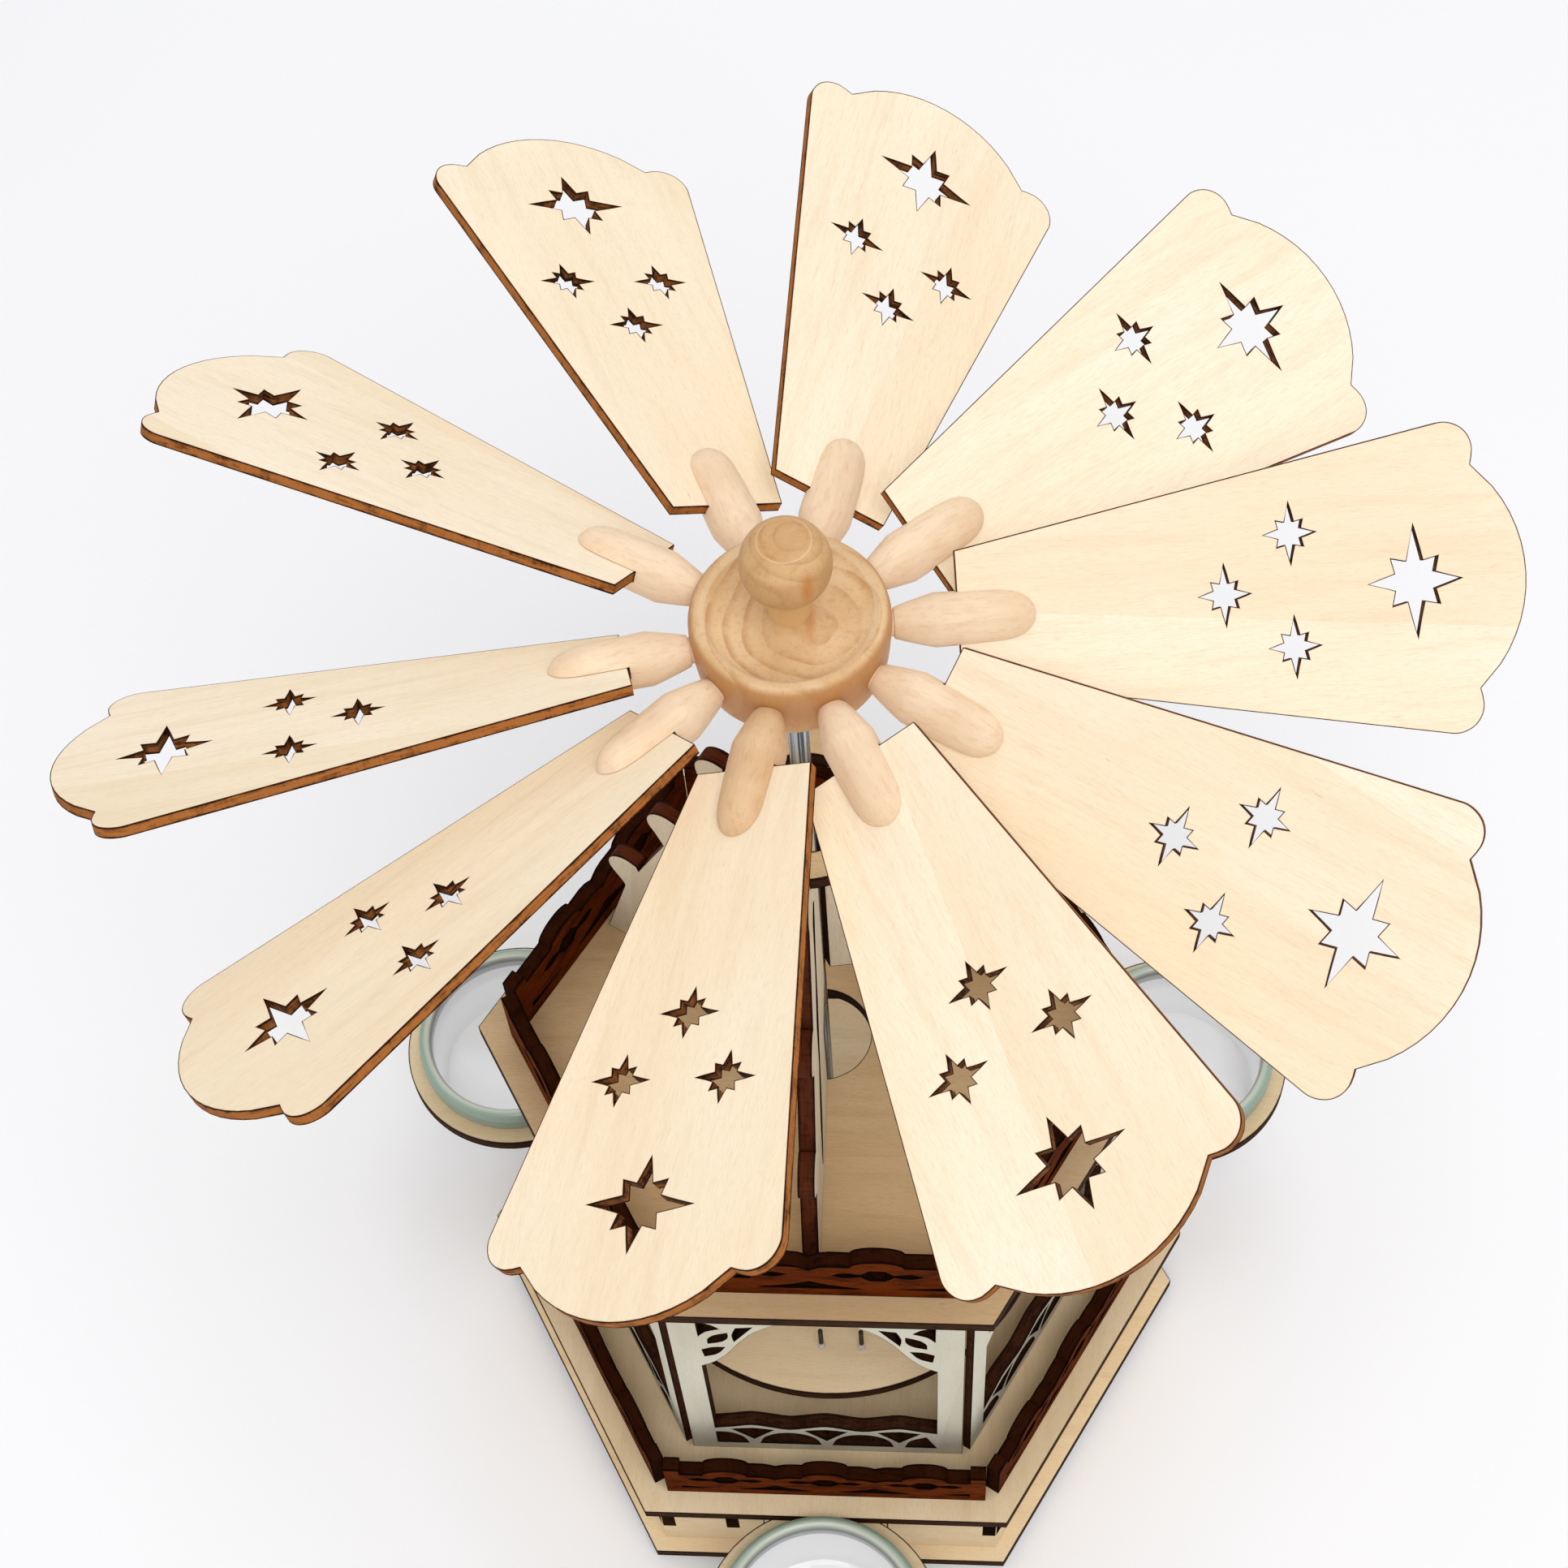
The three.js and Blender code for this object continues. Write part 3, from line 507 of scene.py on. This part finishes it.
# Painted shade and light inside: a dark line and grey band under the mouth, near white towards the
# floor.
inner_wall_painted_light_stops = (
    (0.0, paint(116, 112, 106)), (0.1, paint(170, 168, 170)), (0.45, paint(180, 179, 183)),
    (0.52, paint(172, 172, 174)), (0.6, paint(238, 239, 241)), (1.0, paint(241, 242, 244)),
)
rim_share = (reach - rim_start) * (1 / rim_width)
wall_share = (cup_high.z - rise) * (1 / wall_depth)
rim_painted_reflection = reach.node("ValToRGB", {"stops": rim_painted_reflection_stops}, {0: rim_share})
inner_wall_painted_light = rise.node("ValToRGB", {"stops": inner_wall_painted_light_stops}, {0: wall_share})
ripple = place.noise(140.0, 2.0, 0.5)
bump = start.node("Bump", {}, {"Strength": 0.04, "Distance": 0.0005, "Height": ripple})
feed(bump, shader, "Normal")
feed(0.03 + place.noise(60.0, 3.0).step(0.4, 0.9) * 0.05, shader, "Roughness")
feed(inner.mix(rim_painted_reflection, inner_wall_painted_light), shader, "Base Color")
feed(0.3 + (1.0 - (1.0 - inner) * (1.0 - upper)) * 0.65, shader, "Alpha")
# Painted light: the inner wall glows faintly in its own painted tone.
feed(inner.mix((0.0, 0.0, 0.0, 1.0), inner_wall_painted_light), shader, "Emission Color")
shader.inputs["Emission Strength"].default_value = 0.07
shader.inputs["Transmission Weight"].default_value = 0.1
shader.inputs["IOR"].default_value = 1.45


def spin_profile(bm, profile, centre=(0, 0, 0), steps=96):
    """Turns a profile of radius and height pairs about the upright axis through a point."""
    middle = Vector(centre)
    line = [bm.verts.new(middle + Vector((r, 0, z))) for r, z in profile]
    edges = [bm.edges.new(pair) for pair in zip(line, line[1:])]
    bmesh.ops.spin(
        bm, geom=line + edges, cent=middle, axis=z_axis, angle=math.tau, steps=steps, use_merge=True
    )
    bmesh.ops.remove_doubles(bm, verts=bm.verts, dist=weld)
    bmesh.ops.recalc_face_normals(bm, faces=bm.faces)


for number in (1, 2, 3):
    low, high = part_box(f"glass_cup_{number}")
    centre = (low + high) / 2
    foot, mouth = low.z, high.z
    profile = [(0, foot), (0.0182, foot), (0.0190, foot + 0.0003), (0.0193, foot + 0.0011)]
    profile += [(0.01994, seat - 0.0004), (0.0203, seat), (0.0212, seat), (0.0217, seat + 0.0005)]
    profile += [(0.0218, seat + 0.0013), (0.0218, mouth - 0.0013), (0.0215, mouth - 0.0005)]
    profile += [(0.0208, mouth), (0.0200, mouth), (0.0192, mouth - 0.0006), (0.0189, mouth - 0.0016)]
    profile += [(0.0183, foot + 0.0042), (0.0178, foot + 0.0030), (0.0168, foot + 0.0026)]
    profile += [(0, foot + 0.0026)]
    bm = bmesh.new()
    spin_profile(bm, profile, (centre.x, centre.y, 0))
    reaches = bm.verts.layers.float.new("cup_reach")
    for vert in bm.verts:
        vert[reaches] = math.hypot(vert.co.x - centre.x, vert.co.y - centre.y) * millimetres
    name = f"glass_cup_{number}"
    make_piece(name + "_pressed", bm, glass, f"cup_{number}", [name], 40)

# Lower deck: the second large hexagon of birch plywood, glued on the candle plate.
# Its grain runs from front to back, across that of the base plate.
dress_sheet("lower_deck", y_axis, -x_axis, deck_finish, shift=4)

# Lower fences: six thin boards stained mahogany before cutting, with humps, eyes and slits,
# glued upright along the rim of the deck. Their cut edges are almost black.
fence_finish = sheet_finish(
    "mahogany_stain", paint(116, 50, 10), paint(90, 34, 6), paint(52, 18, 3), 0.7,
    paint(48, 20, 7), paint(20, 8, 4), shine=0.7, strips=0.3, gloss=0.02, mottle=0.6
)
side_turns = (270, 330, 30, 90, 150, 210)
fine_line = 0.0002


def along_side(turn):
    """The direction along one side of the hexagon, for the turn that its outer face looks to."""
    angle = math.radians(turn)
    return Vector((-math.sin(angle), math.cos(angle), 0))


for number, turn in enumerate(side_turns, 1):
    dress_sheet(
        f"lower_fence_{number}", along_side(turn), z_axis, fence_finish,
        shift=number + 4, rim=fine_line
    )

# Panels: six tall fretwork boards with a thin white wash, glued between the two decks.
# The wash lies on the faces only; posts, arches, leaves and arcs show scorched brown edges.
panel_finish = sheet_finish(
    "white_wash", paint(220, 216, 198), paint(204, 198, 177), paint(186, 177, 152), 0.35,
    paint(74, 40, 20), paint(34, 17, 9), strips=0.2, wash=0.25
)
for number, turn in enumerate(side_turns, 1):
    dress_sheet(
        f"panel_{number}", z_axis, -along_side(turn), panel_finish,
        shift=number + 12, rim=fine_line
    )

# Top deck: a smaller hexagon on the panels, with a round hole for the shaft.
# It lies in the shade of the paddles, painted into its plywood as a darker, browner copy of the decks'
# finish.
top_deck_painted_shade_finish = sheet_finish(
    "deck_plywood_painted_shade", paint(216, 189, 150), paint(204, 172, 130), paint(184, 146, 104), 0.55,
    paint(62, 36, 19), paint(30, 17, 10), strips=0.35
)
dress_sheet("top_deck", x_axis, y_axis, top_deck_painted_shade_finish, shift=21)

# Top fences: the same stained boards in a shorter cut with two humps each,
# glued upright along the rim of the top deck.
for number, turn in enumerate(side_turns, 1):
    dress_sheet(
        f"top_fence_{number}", along_side(turn), z_axis, fence_finish,
        shift=number + 22, rim=fine_line
    )

# Tower ribs: three pierced fins that stand on the top deck and lean in to the cap ring, pale on
# their faces and scorched along the stepped outer edge.
rib_finish = sheet_finish(
    "rib_plywood", paint(232, 218, 192), paint(216, 198, 168), paint(190, 166, 130), 0.45,
    paint(86, 40, 20), paint(40, 16, 9), strips=0.3
)
for number, turn in enumerate(arm_turns, 1):
    outward = Vector((math.cos(math.radians(turn)), math.sin(math.radians(turn)), 0))
    dress_sheet(f"rib_{number}", z_axis, outward, rib_finish, shift=number + 30)

# Cap ring: a flat plywood washer, glued on the upper ends of the three ribs to tie them together.
# The shaft runs through its hole with room to spare.
cap_low, cap_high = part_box("cap_ring")
cap_hole = 0.0094
cap_radius = 0.0146


def flat_ring(name, node, inner, outer, low, high, body, shift, rim=0.0005):
    """A round plywood sheet with a round hole, its scorched rims drawn as narrow turned bands."""
    bm = bmesh.new()
    profile = [(inner + rim, low), (outer - rim, low), (outer, low), (outer, high)]
    profile += [(outer - rim, high), (inner + rim, high), (inner, high), (inner, low)]
    profile += [(inner + rim, low)]
    spin_profile(bm, profile, steps=128)
    put_sheet_layers(bm)
    reach = {vert: math.hypot(vert.co.x, vert.co.y) for vert in bm.verts}
    between = {vert for vert, r in reach.items() if inner + rim * 0.5 < r < outer - rim * 0.5}
    fill_sheet_layers(bm, x_axis, y_axis, shift, between)
    return make_piece(name, bm, deck_finish, body, [node], smooth=30)


flat_ring(
    "cap_washer", "cap_ring", cap_hole, cap_radius, cap_low.z, cap_high.z, "stand", shift=35
)

# Foot bearing and shaft: a turned steel cup on the deck and a drawn steel rod that runs in it.
# The rod is bright with fine lines along its length.
steel, start, shader = new_finish("drawn_steel")
place = start.node("TexCoord", {}, {}, 3)
lines = place.stretched((1800.0, 1800.0, 18.0)).noise(1.0, 3.0, 0.6)
smudge = place.noise(90.0, 3.0).step(0.35, 0.75)
feed(lines.step(0.4, 0.62).mix(paint(84, 90, 98), paint(196, 204, 212)), shader, "Base Color")
feed(0.2 + lines * 0.12 + smudge * 0.08, shader, "Roughness")
bump = start.node("Bump", {}, {"Strength": 0.08, "Distance": 0.0002, "Height": lines})
feed(bump, shader, "Normal")
shader.inputs["Metallic"].default_value = 1.0
low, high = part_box("foot_bearing")
bm = bmesh.new()
spin_profile(bm, [
    (0, low.z), (0.0058, low.z), (0.006, low.z + 0.0003), (0.0059, low.z + 0.0012),
    (0.0053, low.z + 0.0044), (0.005, low.z + 0.0049), (0.0046, high.z), (0.0024, high.z),
    (0.0021, high.z - 0.0004), (0.0021, low.z + 0.0029), (0, low.z + 0.0016),
])
make_piece("foot_bearing_cup", bm, steel, "stand", ["foot_bearing"], 30)
low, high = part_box("shaft")
shaft_radius = 0.0017
shaft_profile = [(0, low.z), (0.0009, low.z + 0.0008), (shaft_radius, low.z + 0.0018)]
shaft_profile += [(shaft_radius, high.z), (0, high.z)]
bm = bmesh.new()
spin_profile(bm, shaft_profile, steps=48)
make_piece("shaft_rod", bm, steel, "rotor", ["shaft"], 30)

# Turntable: a thin round sheet on the shaft under the top deck, with a collar above it that is
# turned from honey-coloured wood and grips the shaft.
low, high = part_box("turntable")
shaft_hole = 0.0019
turntable_radius = (high.x - low.x) / 2
flat_ring(
    "turntable_disc", "turntable", shaft_hole, turntable_radius, low.z, high.z, "rotor", shift=37
)


def turned_finish(
    name, pale, warm, ring, pith, spacing, contrast,
    gloss=0.4, circles=(), streak=None, neck=None
):
    """Turned solid wood: growth rings about a pith, fine pores, painted bands of light and shade.

    Each circle is a painted band with a radius, a width, a strength and a tone: painted highlight
    where paler, painted shade where darker. A streak is the place of a rusty stain along the grain,
    and a neck two heights and a paler tone painted below them, as light that lifts the shade there.
    """
    taper = 0.03
    finish, start, shader = new_finish(name)
    place = start.node("Attribute", {"attribute_name": "turned_place"}, {}, 1)
    bend = place.stretched((0.055, 0.055, 0.02)).noise(1.0, 2.0, 0.5)
    reach = place.seen_from(pith).stretched((1.0, 1.0, taper)).length()
    count = reach * (1.0 / spacing) + bend * 2.0
    share = count.node("Math", {"operation": "FRACT"}, {0: count})
    rings = share.step(0.45, 0.92) * (1.0 - share.step(0.92, 1.0))
    fade = place.stretched((0.2, 0.2, 0.05)).noise(1.0, 3.0, 0.6).step(0.36, 0.62)
    pore = place.stretched((3.2, 3.2, 0.5)).noise(1.0, 3.0, 0.65)
    speck = place.stretched((1.2, 1.2, 0.3)).noise(1.0, 3.0, 0.6)
    cloud = place.noise(0.11, 3.0)
    wood = cloud.step(0.3, 0.7).mix(pale, warm)
    wood = (rings * (0.2 + fade * 0.8) * contrast).mix(wood, ring)
    wood = (speck.step(0.48, 0.74) * 0.3).mix(wood, ring)
    wood = (pore.step(0.52, 0.76) * 0.3).mix(wood, ring)
    radius = place.stretched((1.0, 1.0, 0.0)).length()
    # Painted highlights and painted shade, as bands round the axis of turning.
    for size, width, strength, colour in circles:
        core = width * 0.3
        within, beyond = radius.step(size - width, size - core), radius.step(size + core, size + width)
        wood = (within * (1.0 - beyond) * strength).mix(wood, colour)
    if streak:
        away = place.seen_from(streak).stretched((1.0, 0.34, 0.3)).length()
        wood = ((1.0 - away.step(0.1, 1.3)) * 0.6).mix(wood, paint(188, 104, 22))
    # Painted light: below the neck's two heights the wood turns paler, lifting the shade there.
    if neck:
        low, high, colour = neck
        wood = ((1.0 - place.height().step(low, high)) * 0.8).mix(wood, colour)
    feed(wood, shader, "Base Color")
    feed(0.42 + pore * 0.22, shader, "Roughness")
    relief = pore + rings * 0.3
    bump = start.node("Bump", {}, {"Strength": 0.08, "Distance": 0.0003, "Height": relief})
    feed(bump, shader, "Normal")
    shader.inputs["Specular IOR Level"].default_value = gloss
    return finish


def put_turned_place(bm, side, along, origin=(0, 0, 0), shift=(0, 0, 0)):
    """Stores each point's place in millimetres, with the axis of turning as the third direction."""
    place = bm.verts.layers.float_vector.new("turned_place")
    other = along.cross(side)
    for vert in bm.verts:
        spot = vert.co - Vector(origin)
        spot = Vector((spot.dot(side), spot.dot(other), spot.dot(along)))
        vert[place] = spot * millimetres + Vector(shift)


honey_tones = (paint(224, 190, 146), paint(210, 170, 120), paint(180, 128, 76))
# A pale tone for painted highlights on the turned wood.
painted_highlight_tone = paint(250, 232, 200)
honey = turned_finish("honey_maple", *honey_tones, (5.2, -3.6, 0.0), 1.6, 0.5)
low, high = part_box("turntable_collar")
bm = bmesh.new()
spin_profile(bm, [
    (shaft_hole, low.z), (0.0068, low.z), (0.007, low.z + 0.0003), (0.007, low.z + 0.003),
    (0.0066, low.z + 0.0038), (0.0053, high.z - 0.0006), (0.0048, high.z), (0.0022, high.z),
    (shaft_hole, high.z - 0.0003), (shaft_hole, low.z),
])
put_turned_place(bm, x_axis, z_axis)
make_piece("turntable_boss", bm, honey, "rotor", ["turntable_collar"], 30)

# Pins: two short nails driven through the turntable, with bright rounded ends.
# Their shanks are painted dark brown above the ends: painted shade under the top deck.
pin_finish, start, shader = new_finish("nail_with_painted_shade")
place = start.node("TexCoord", {}, {}, 3)
pin_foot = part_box("turntable_pin_1")[0].z
# Painted shade: the shank turns dark brown above the bright end, where it stands under the top deck.
shank_painted_shade = place.height().step(pin_foot + 0.0022, pin_foot + 0.0036)
grime = place.noise(900.0, 2.0).step(0.3, 0.8)
bright_end = grime.mix(paint(232, 230, 238), paint(176, 176, 188))
feed(shank_painted_shade.mix(bright_end, paint(44, 24, 12)), shader, "Base Color")
feed((1.0 - shank_painted_shade) * 0.5, shader, "Metallic")
feed(0.25 + grime * 0.2 + shank_painted_shade * 0.35, shader, "Roughness")
for number in (1, 2):
    low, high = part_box(f"turntable_pin_{number}")
    centre = (low + high) / 2
    profile = [(0, low.z), (0.00035, low.z + 0.00005), (0.00062, low.z + 0.0003)]
    profile += [(0.00077, low.z + 0.0007), (0.00077, low.z + 0.0011), (0.00066, low.z + 0.0015)]
    profile += [(0.0005, low.z + 0.0018), (0.0005, high.z - 0.0003), (0.0003, high.z), (0, high.z)]
    bm = bmesh.new()
    spin_profile(bm, profile, (centre.x, centre.y, 0), 32)
    make_piece(f"pin_{number}", bm, pin_finish, "rotor", [f"turntable_pin_{number}"], 30)

# Hub: a wheel of honey-coloured wood turned with a rounded rim and a shallow dish, bored on its side
# for the pegs. Growth rings show as curved lines across the dish, which flares up to the knob.
low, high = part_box("hub")
foot_profile = [(0, 0), (0.0136, 0), (0.01425, 0.0003), (0.01455, 0.0012), (0.0148, 0.0036)]
rim_profile = [
    (0.01505, 0.0046), (0.0151, 0.0034), (0.01506, 0.0022), (0.0148, 0.0011), (0.0143, 0.0004),
    (0.01375, 0.00005), (0.0132, 0),
]
dish_profile = [
    (0.0128, 0.0003), (0.0121, 0.0010), (0.0108, 0.0015), (0.0088, 0.00185), (0.0074, 0.002),
    (0.0061, 0.0019), (0.0051, 0.0016), (0.0043, 0.0011), (0.0038, 0.0006), (0.0035, 0.0001),
    (0, 0.0001),
]
profile = [(r, low.z + rise) for r, rise in foot_profile]
profile += [(r, high.z - drop) for r, drop in rim_profile + dish_profile]
bm = bmesh.new()
spin_profile(bm, profile, steps=160)
put_turned_place(bm, x_axis, z_axis)
# Painted highlight along the dish's inner rim, and a darker, oranger band of painted shade on the
# side.
dish_edge_painted_highlight = (12.9, 0.5, 0.3, painted_highlight_tone)
hub_side_painted_shade = (15.25, 1.15, 0.75, paint(178, 116, 54))
hub_finish = turned_finish(
    "honey_maple_hub", *honey_tones, (3.2, -1.8, 0.0), 2.2, 0.62,
    circles=(dish_edge_painted_highlight, hub_side_painted_shade), streak=(3.1, -1.4, 266.0)
)
make_piece("hub_wheel", bm, hub_finish, "rotor", ["hub"], 28)

# Knob: a ball on a short neck, turned from the same wood and glued in the middle of the dish.
# A painted highlight runs round the edge of the flat on its top. Painted shade darkens the ball's
# sides, and painted light makes the neck paler.
low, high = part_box("knob")
knob_radius = 0.0068
knob_centre = 0.2792
ball_start, ball_end, ball_steps = -57, 51, 28
profile = [(0, low.z), (0.0036, low.z), (0.0034, low.z + 0.0006), (0.0032, low.z + 0.0016)]
profile += [(0.0031, knob_centre - knob_radius * 0.93), (0.0033, knob_centre - knob_radius * 0.9)]
for i in range(ball_steps + 1):
    angle = math.radians(ball_start + (ball_end - ball_start) * i / ball_steps)
    profile.append((knob_radius * math.cos(angle), knob_centre + knob_radius * math.sin(angle)))
profile += [(0.0041, high.z - 0.0007), (0.0036, high.z - 0.0004), (0.0028, high.z - 0.00018)]
profile += [(0.0018, high.z - 0.00005), (0.0009, high.z), (0, high.z)]
bm = bmesh.new()
spin_profile(bm, profile, steps=96)
put_turned_place(bm, x_axis, z_axis)
# Painted highlight round the flat, painted shade round the ball's sides, painted light on the neck.
flat_edge_painted_highlight = (3.95, 0.12, 0.25, painted_highlight_tone)
ball_side_painted_shade = (6.75, 0.9, 0.4, paint(176, 124, 66))
knob_finish = turned_finish(
    "honey_maple_knob", paint(212, 174, 124), paint(198, 154, 102), paint(168, 114, 62),
    (0.8, 0.4, 0.0), 0.75, 0.42, circles=(flat_edge_painted_highlight, ball_side_painted_shade), streak=(3.4, -5.2, 280.4),
    neck=(271.2, 273.2, paint(222, 180, 124))
)
make_piece("knob_ball", bm, knob_finish, "rotor", ["knob"], 40)

# Pegs: ten beech dowels turned to a belly with a narrow neck, each sawn open at its round end.
# They plug into the hub like spokes and can be twisted to set the pitch of the paddles.
# One of them is of darker beech than the rest.
beech = turned_finish(
    "turned_beech", paint(240, 216, 186), paint(232, 203, 170), paint(206, 164, 124),
    (14.0, 9.0, 0.0), 2.6, 0.14, gloss=0.25
)
darker_beech = turned_finish(
    "turned_beech_dark", paint(224, 190, 150), paint(212, 174, 132), paint(184, 138, 96),
    (14.0, 9.0, 0.0), 2.6, 0.16, gloss=0.25
)
darker_peg = 8
peg_profile = [
    (0.0107, 0), (0.0107, 0.002), (0.0153, 0.002), (0.01535, 0.0023), (0.0156, 0.00245),
    (0.0175, 0.00305), (0.0195, 0.00362), (0.0211, 0.00404), (0.0214, 0.0041), (0.0219, 0.00411),
    (0.0250, 0.00405), (0.0290, 0.00395), (0.0316, 0.00384), (0.0334, 0.00355), (0.0346, 0.00308),
    (0.0355, 0.00245), (0.0362, 0.0016), (0.03655, 0.0008), (0.03665, 0),
]
peg_axis_height = 0.2621
slot_start = 0.0246
slot_half = 0.00098
touching = 1e-6


def widest_face(node):
    """The direction that the largest face of a flat sheet looks in."""
    return max(node.data.polygons, key=lambda face: face.area).normal.copy()


paddle_joints = {j["child"]: j for j in frame["joints"] if j["child"].startswith("paddle_")}
paddle_turns = {}
for number in range(1, 11):
    out = Vector(paddle_joints[f"paddle_{number}"]["axis"]).normalized()
    up = widest_face(frame["nodes"][f"blade_{number}"])
    up = (up - out * up.dot(out)).normalized()
    if up.z < 0:
        up = -up
    paddle_turns[number] = Matrix((out, up.cross(out), up)).transposed()

for number, turn in paddle_turns.items():
    bm = bmesh.new()
    line = [bm.verts.new((x, 0, r)) for x, r in peg_profile]
    edges = [bm.edges.new(pair) for pair in zip(line, line[1:])]
    bmesh.ops.spin(
        bm, geom=line + edges, cent=(0, 0, 0), axis=x_axis, angle=math.tau, steps=40, use_merge=True
    )
    bmesh.ops.remove_doubles(bm, verts=bm.verts, dist=weld)
    bmesh.ops.recalc_face_normals(bm, faces=bm.faces)
    saw_cuts = [((slot_start, 0, 0), x_axis)]
    saw_cuts += [((0, 0, slot_half), z_axis), ((0, 0, -slot_half), z_axis)]
    for at, away in saw_cuts:
        geom = bm.verts[:] + bm.edges[:] + bm.faces[:]
        bmesh.ops.bisect_plane(bm, geom=geom, dist=1e-7, plane_co=at, plane_no=away)
    centres = {face: face.calc_center_median() for face in bm.faces}
    sawn = [f for f, spot in centres.items() if spot.x > slot_start and abs(spot.z) < slot_half]
    bmesh.ops.delete(bm, geom=sawn, context="FACES")
    rim = [vert for vert in bm.verts if vert.is_boundary]
    for side in (slot_half, -slot_half):
        jaw = [vert for vert in rim if abs(vert.co.z - side) < touching]
        bm.faces.new(sorted(jaw, key=lambda vert: math.atan2(vert.co.y, vert.co.x - slot_start)))
    slot_floor = [vert for vert in rim if abs(vert.co.x - slot_start) < touching]
    bm.faces.new(sorted(slot_floor, key=lambda vert: math.atan2(vert.co.z, vert.co.y)))
    bmesh.ops.recalc_face_normals(bm, faces=bm.faces)
    bmesh.ops.rotate(bm, verts=bm.verts, matrix=turn)
    bmesh.ops.translate(bm, verts=bm.verts, vec=(0, 0, peg_axis_height))
    put_turned_place(
        bm, turn.col[1].copy(), turn.col[0].copy(),
        origin=(0, 0, peg_axis_height), shift=(17 * number, 5 * number, 0)
    )
    name = f"blade_peg_{number}"
    wood = darker_beech if number == darker_peg else beech
    make_piece(name + "_turned", bm, wood, f"paddle_{number}", [name], 35)

# Paddles: ten fans of thin basswood ply, the palest wood on the object, each pierced by stars and
# pushed into the slot of its peg. The grain runs along the paddle, and some show the joint between
# two strips of veneer.
blade_finish = sheet_finish(
    "paddle_basswood", paint(250, 237, 214), paint(243, 225, 195), paint(218, 186, 148), 0.4,
    paint(168, 104, 52), paint(46, 22, 9), shine=0.6, strips=0.4
)
for number, turn in paddle_turns.items():
    dress_sheet(
        f"blade_{number}", turn.col[0].copy(), turn.col[1].copy(), blade_finish,
        f"paddle_{number}", shift=40 + number * 3
    )

# Studio: a pale seamless floor, a broad soft light from above the front, a weaker one from behind
# the object, and a bright even surround, as for a catalogue picture on white.
floor_finish, start, shader = new_finish("studio_paper")
place = start.node("TexCoord", {}, {}, 3)
feed(place.noise(6.0, 2.0).mix(paint(247, 247, 250), paint(250, 250, 252)), shader, "Base Color")
shader.inputs["Roughness"].default_value = 0.9
bm = bmesh.new()
bmesh.ops.create_grid(bm, x_segments=1, y_segments=1, size=4.0)
bmesh.ops.translate(bm, verts=bm.verts, vec=(0, 0, -0.0001))
mesh = bpy.data.meshes.new("studio_floor")
bm.to_mesh(mesh)
bm.free()
studio_floor = bpy.data.objects.new("studio_floor", mesh)
bpy.context.scene.collection.objects.link(studio_floor)
mesh.materials.append(floor_finish)

world = bpy.data.worlds.new("studio_surround")
bpy.context.scene.world = world
world.use_nodes = True
surround = world.node_tree.nodes["Background"]
surround.inputs["Color"].default_value = (0.97, 0.98, 1.0, 1.0)
surround.inputs["Strength"].default_value = 0.7


def soft_light(name, place, aim, size, power, colour):
    lamp = bpy.data.lights.new(name, "AREA")
    lamp.shape = "DISK"
    lamp.size = size
    lamp.energy = power
    lamp.color = colour
    holder = bpy.data.objects.new(name, lamp)
    holder.location = place
    holder.rotation_euler = (Vector(aim) - Vector(place)).to_track_quat("-Z", "Y").to_euler()
    bpy.context.scene.collection.objects.link(holder)


soft_light("key_light", (0.18, -0.56, 1.4), (0, 0, 0.2), 1.0, 8.8, (1.0, 0.985, 0.96))
soft_light("back_light", (0.1, 1.1, 1.4), (0, 0.1, 0.1), 1.1, 2.8, (1.0, 0.99, 0.97))

# Camera: above and in front of the paddle wheel, looking steeply down as in the photograph.
# Its place, turn and lens come from the outlines of the decks, the rings and the paddles.
lens = bpy.data.cameras.new("photo_camera")
lens.sensor_width = 36.0
lens.lens = 62.97
lens.clip_start = 0.01
lens.clip_end = 20.0
camera = bpy.data.objects.new("photo_camera", lens)
standpoint = Matrix.Translation((0.0247, -0.23002, 0.59762))
right = Vector((0.99795, 0.04492, -0.0456)).normalized()
forward = Vector((-0.06229, 0.51742, -0.85346)).normalized()
upward = right.cross(forward).normalized()
right = forward.cross(upward)
camera.matrix_world = standpoint @ Matrix((right, upward, -forward)).transposed().to_4x4()
bpy.context.scene.collection.objects.link(camera)
bpy.context.scene.camera = camera
bpy.context.scene.view_settings.view_transform = "Standard"
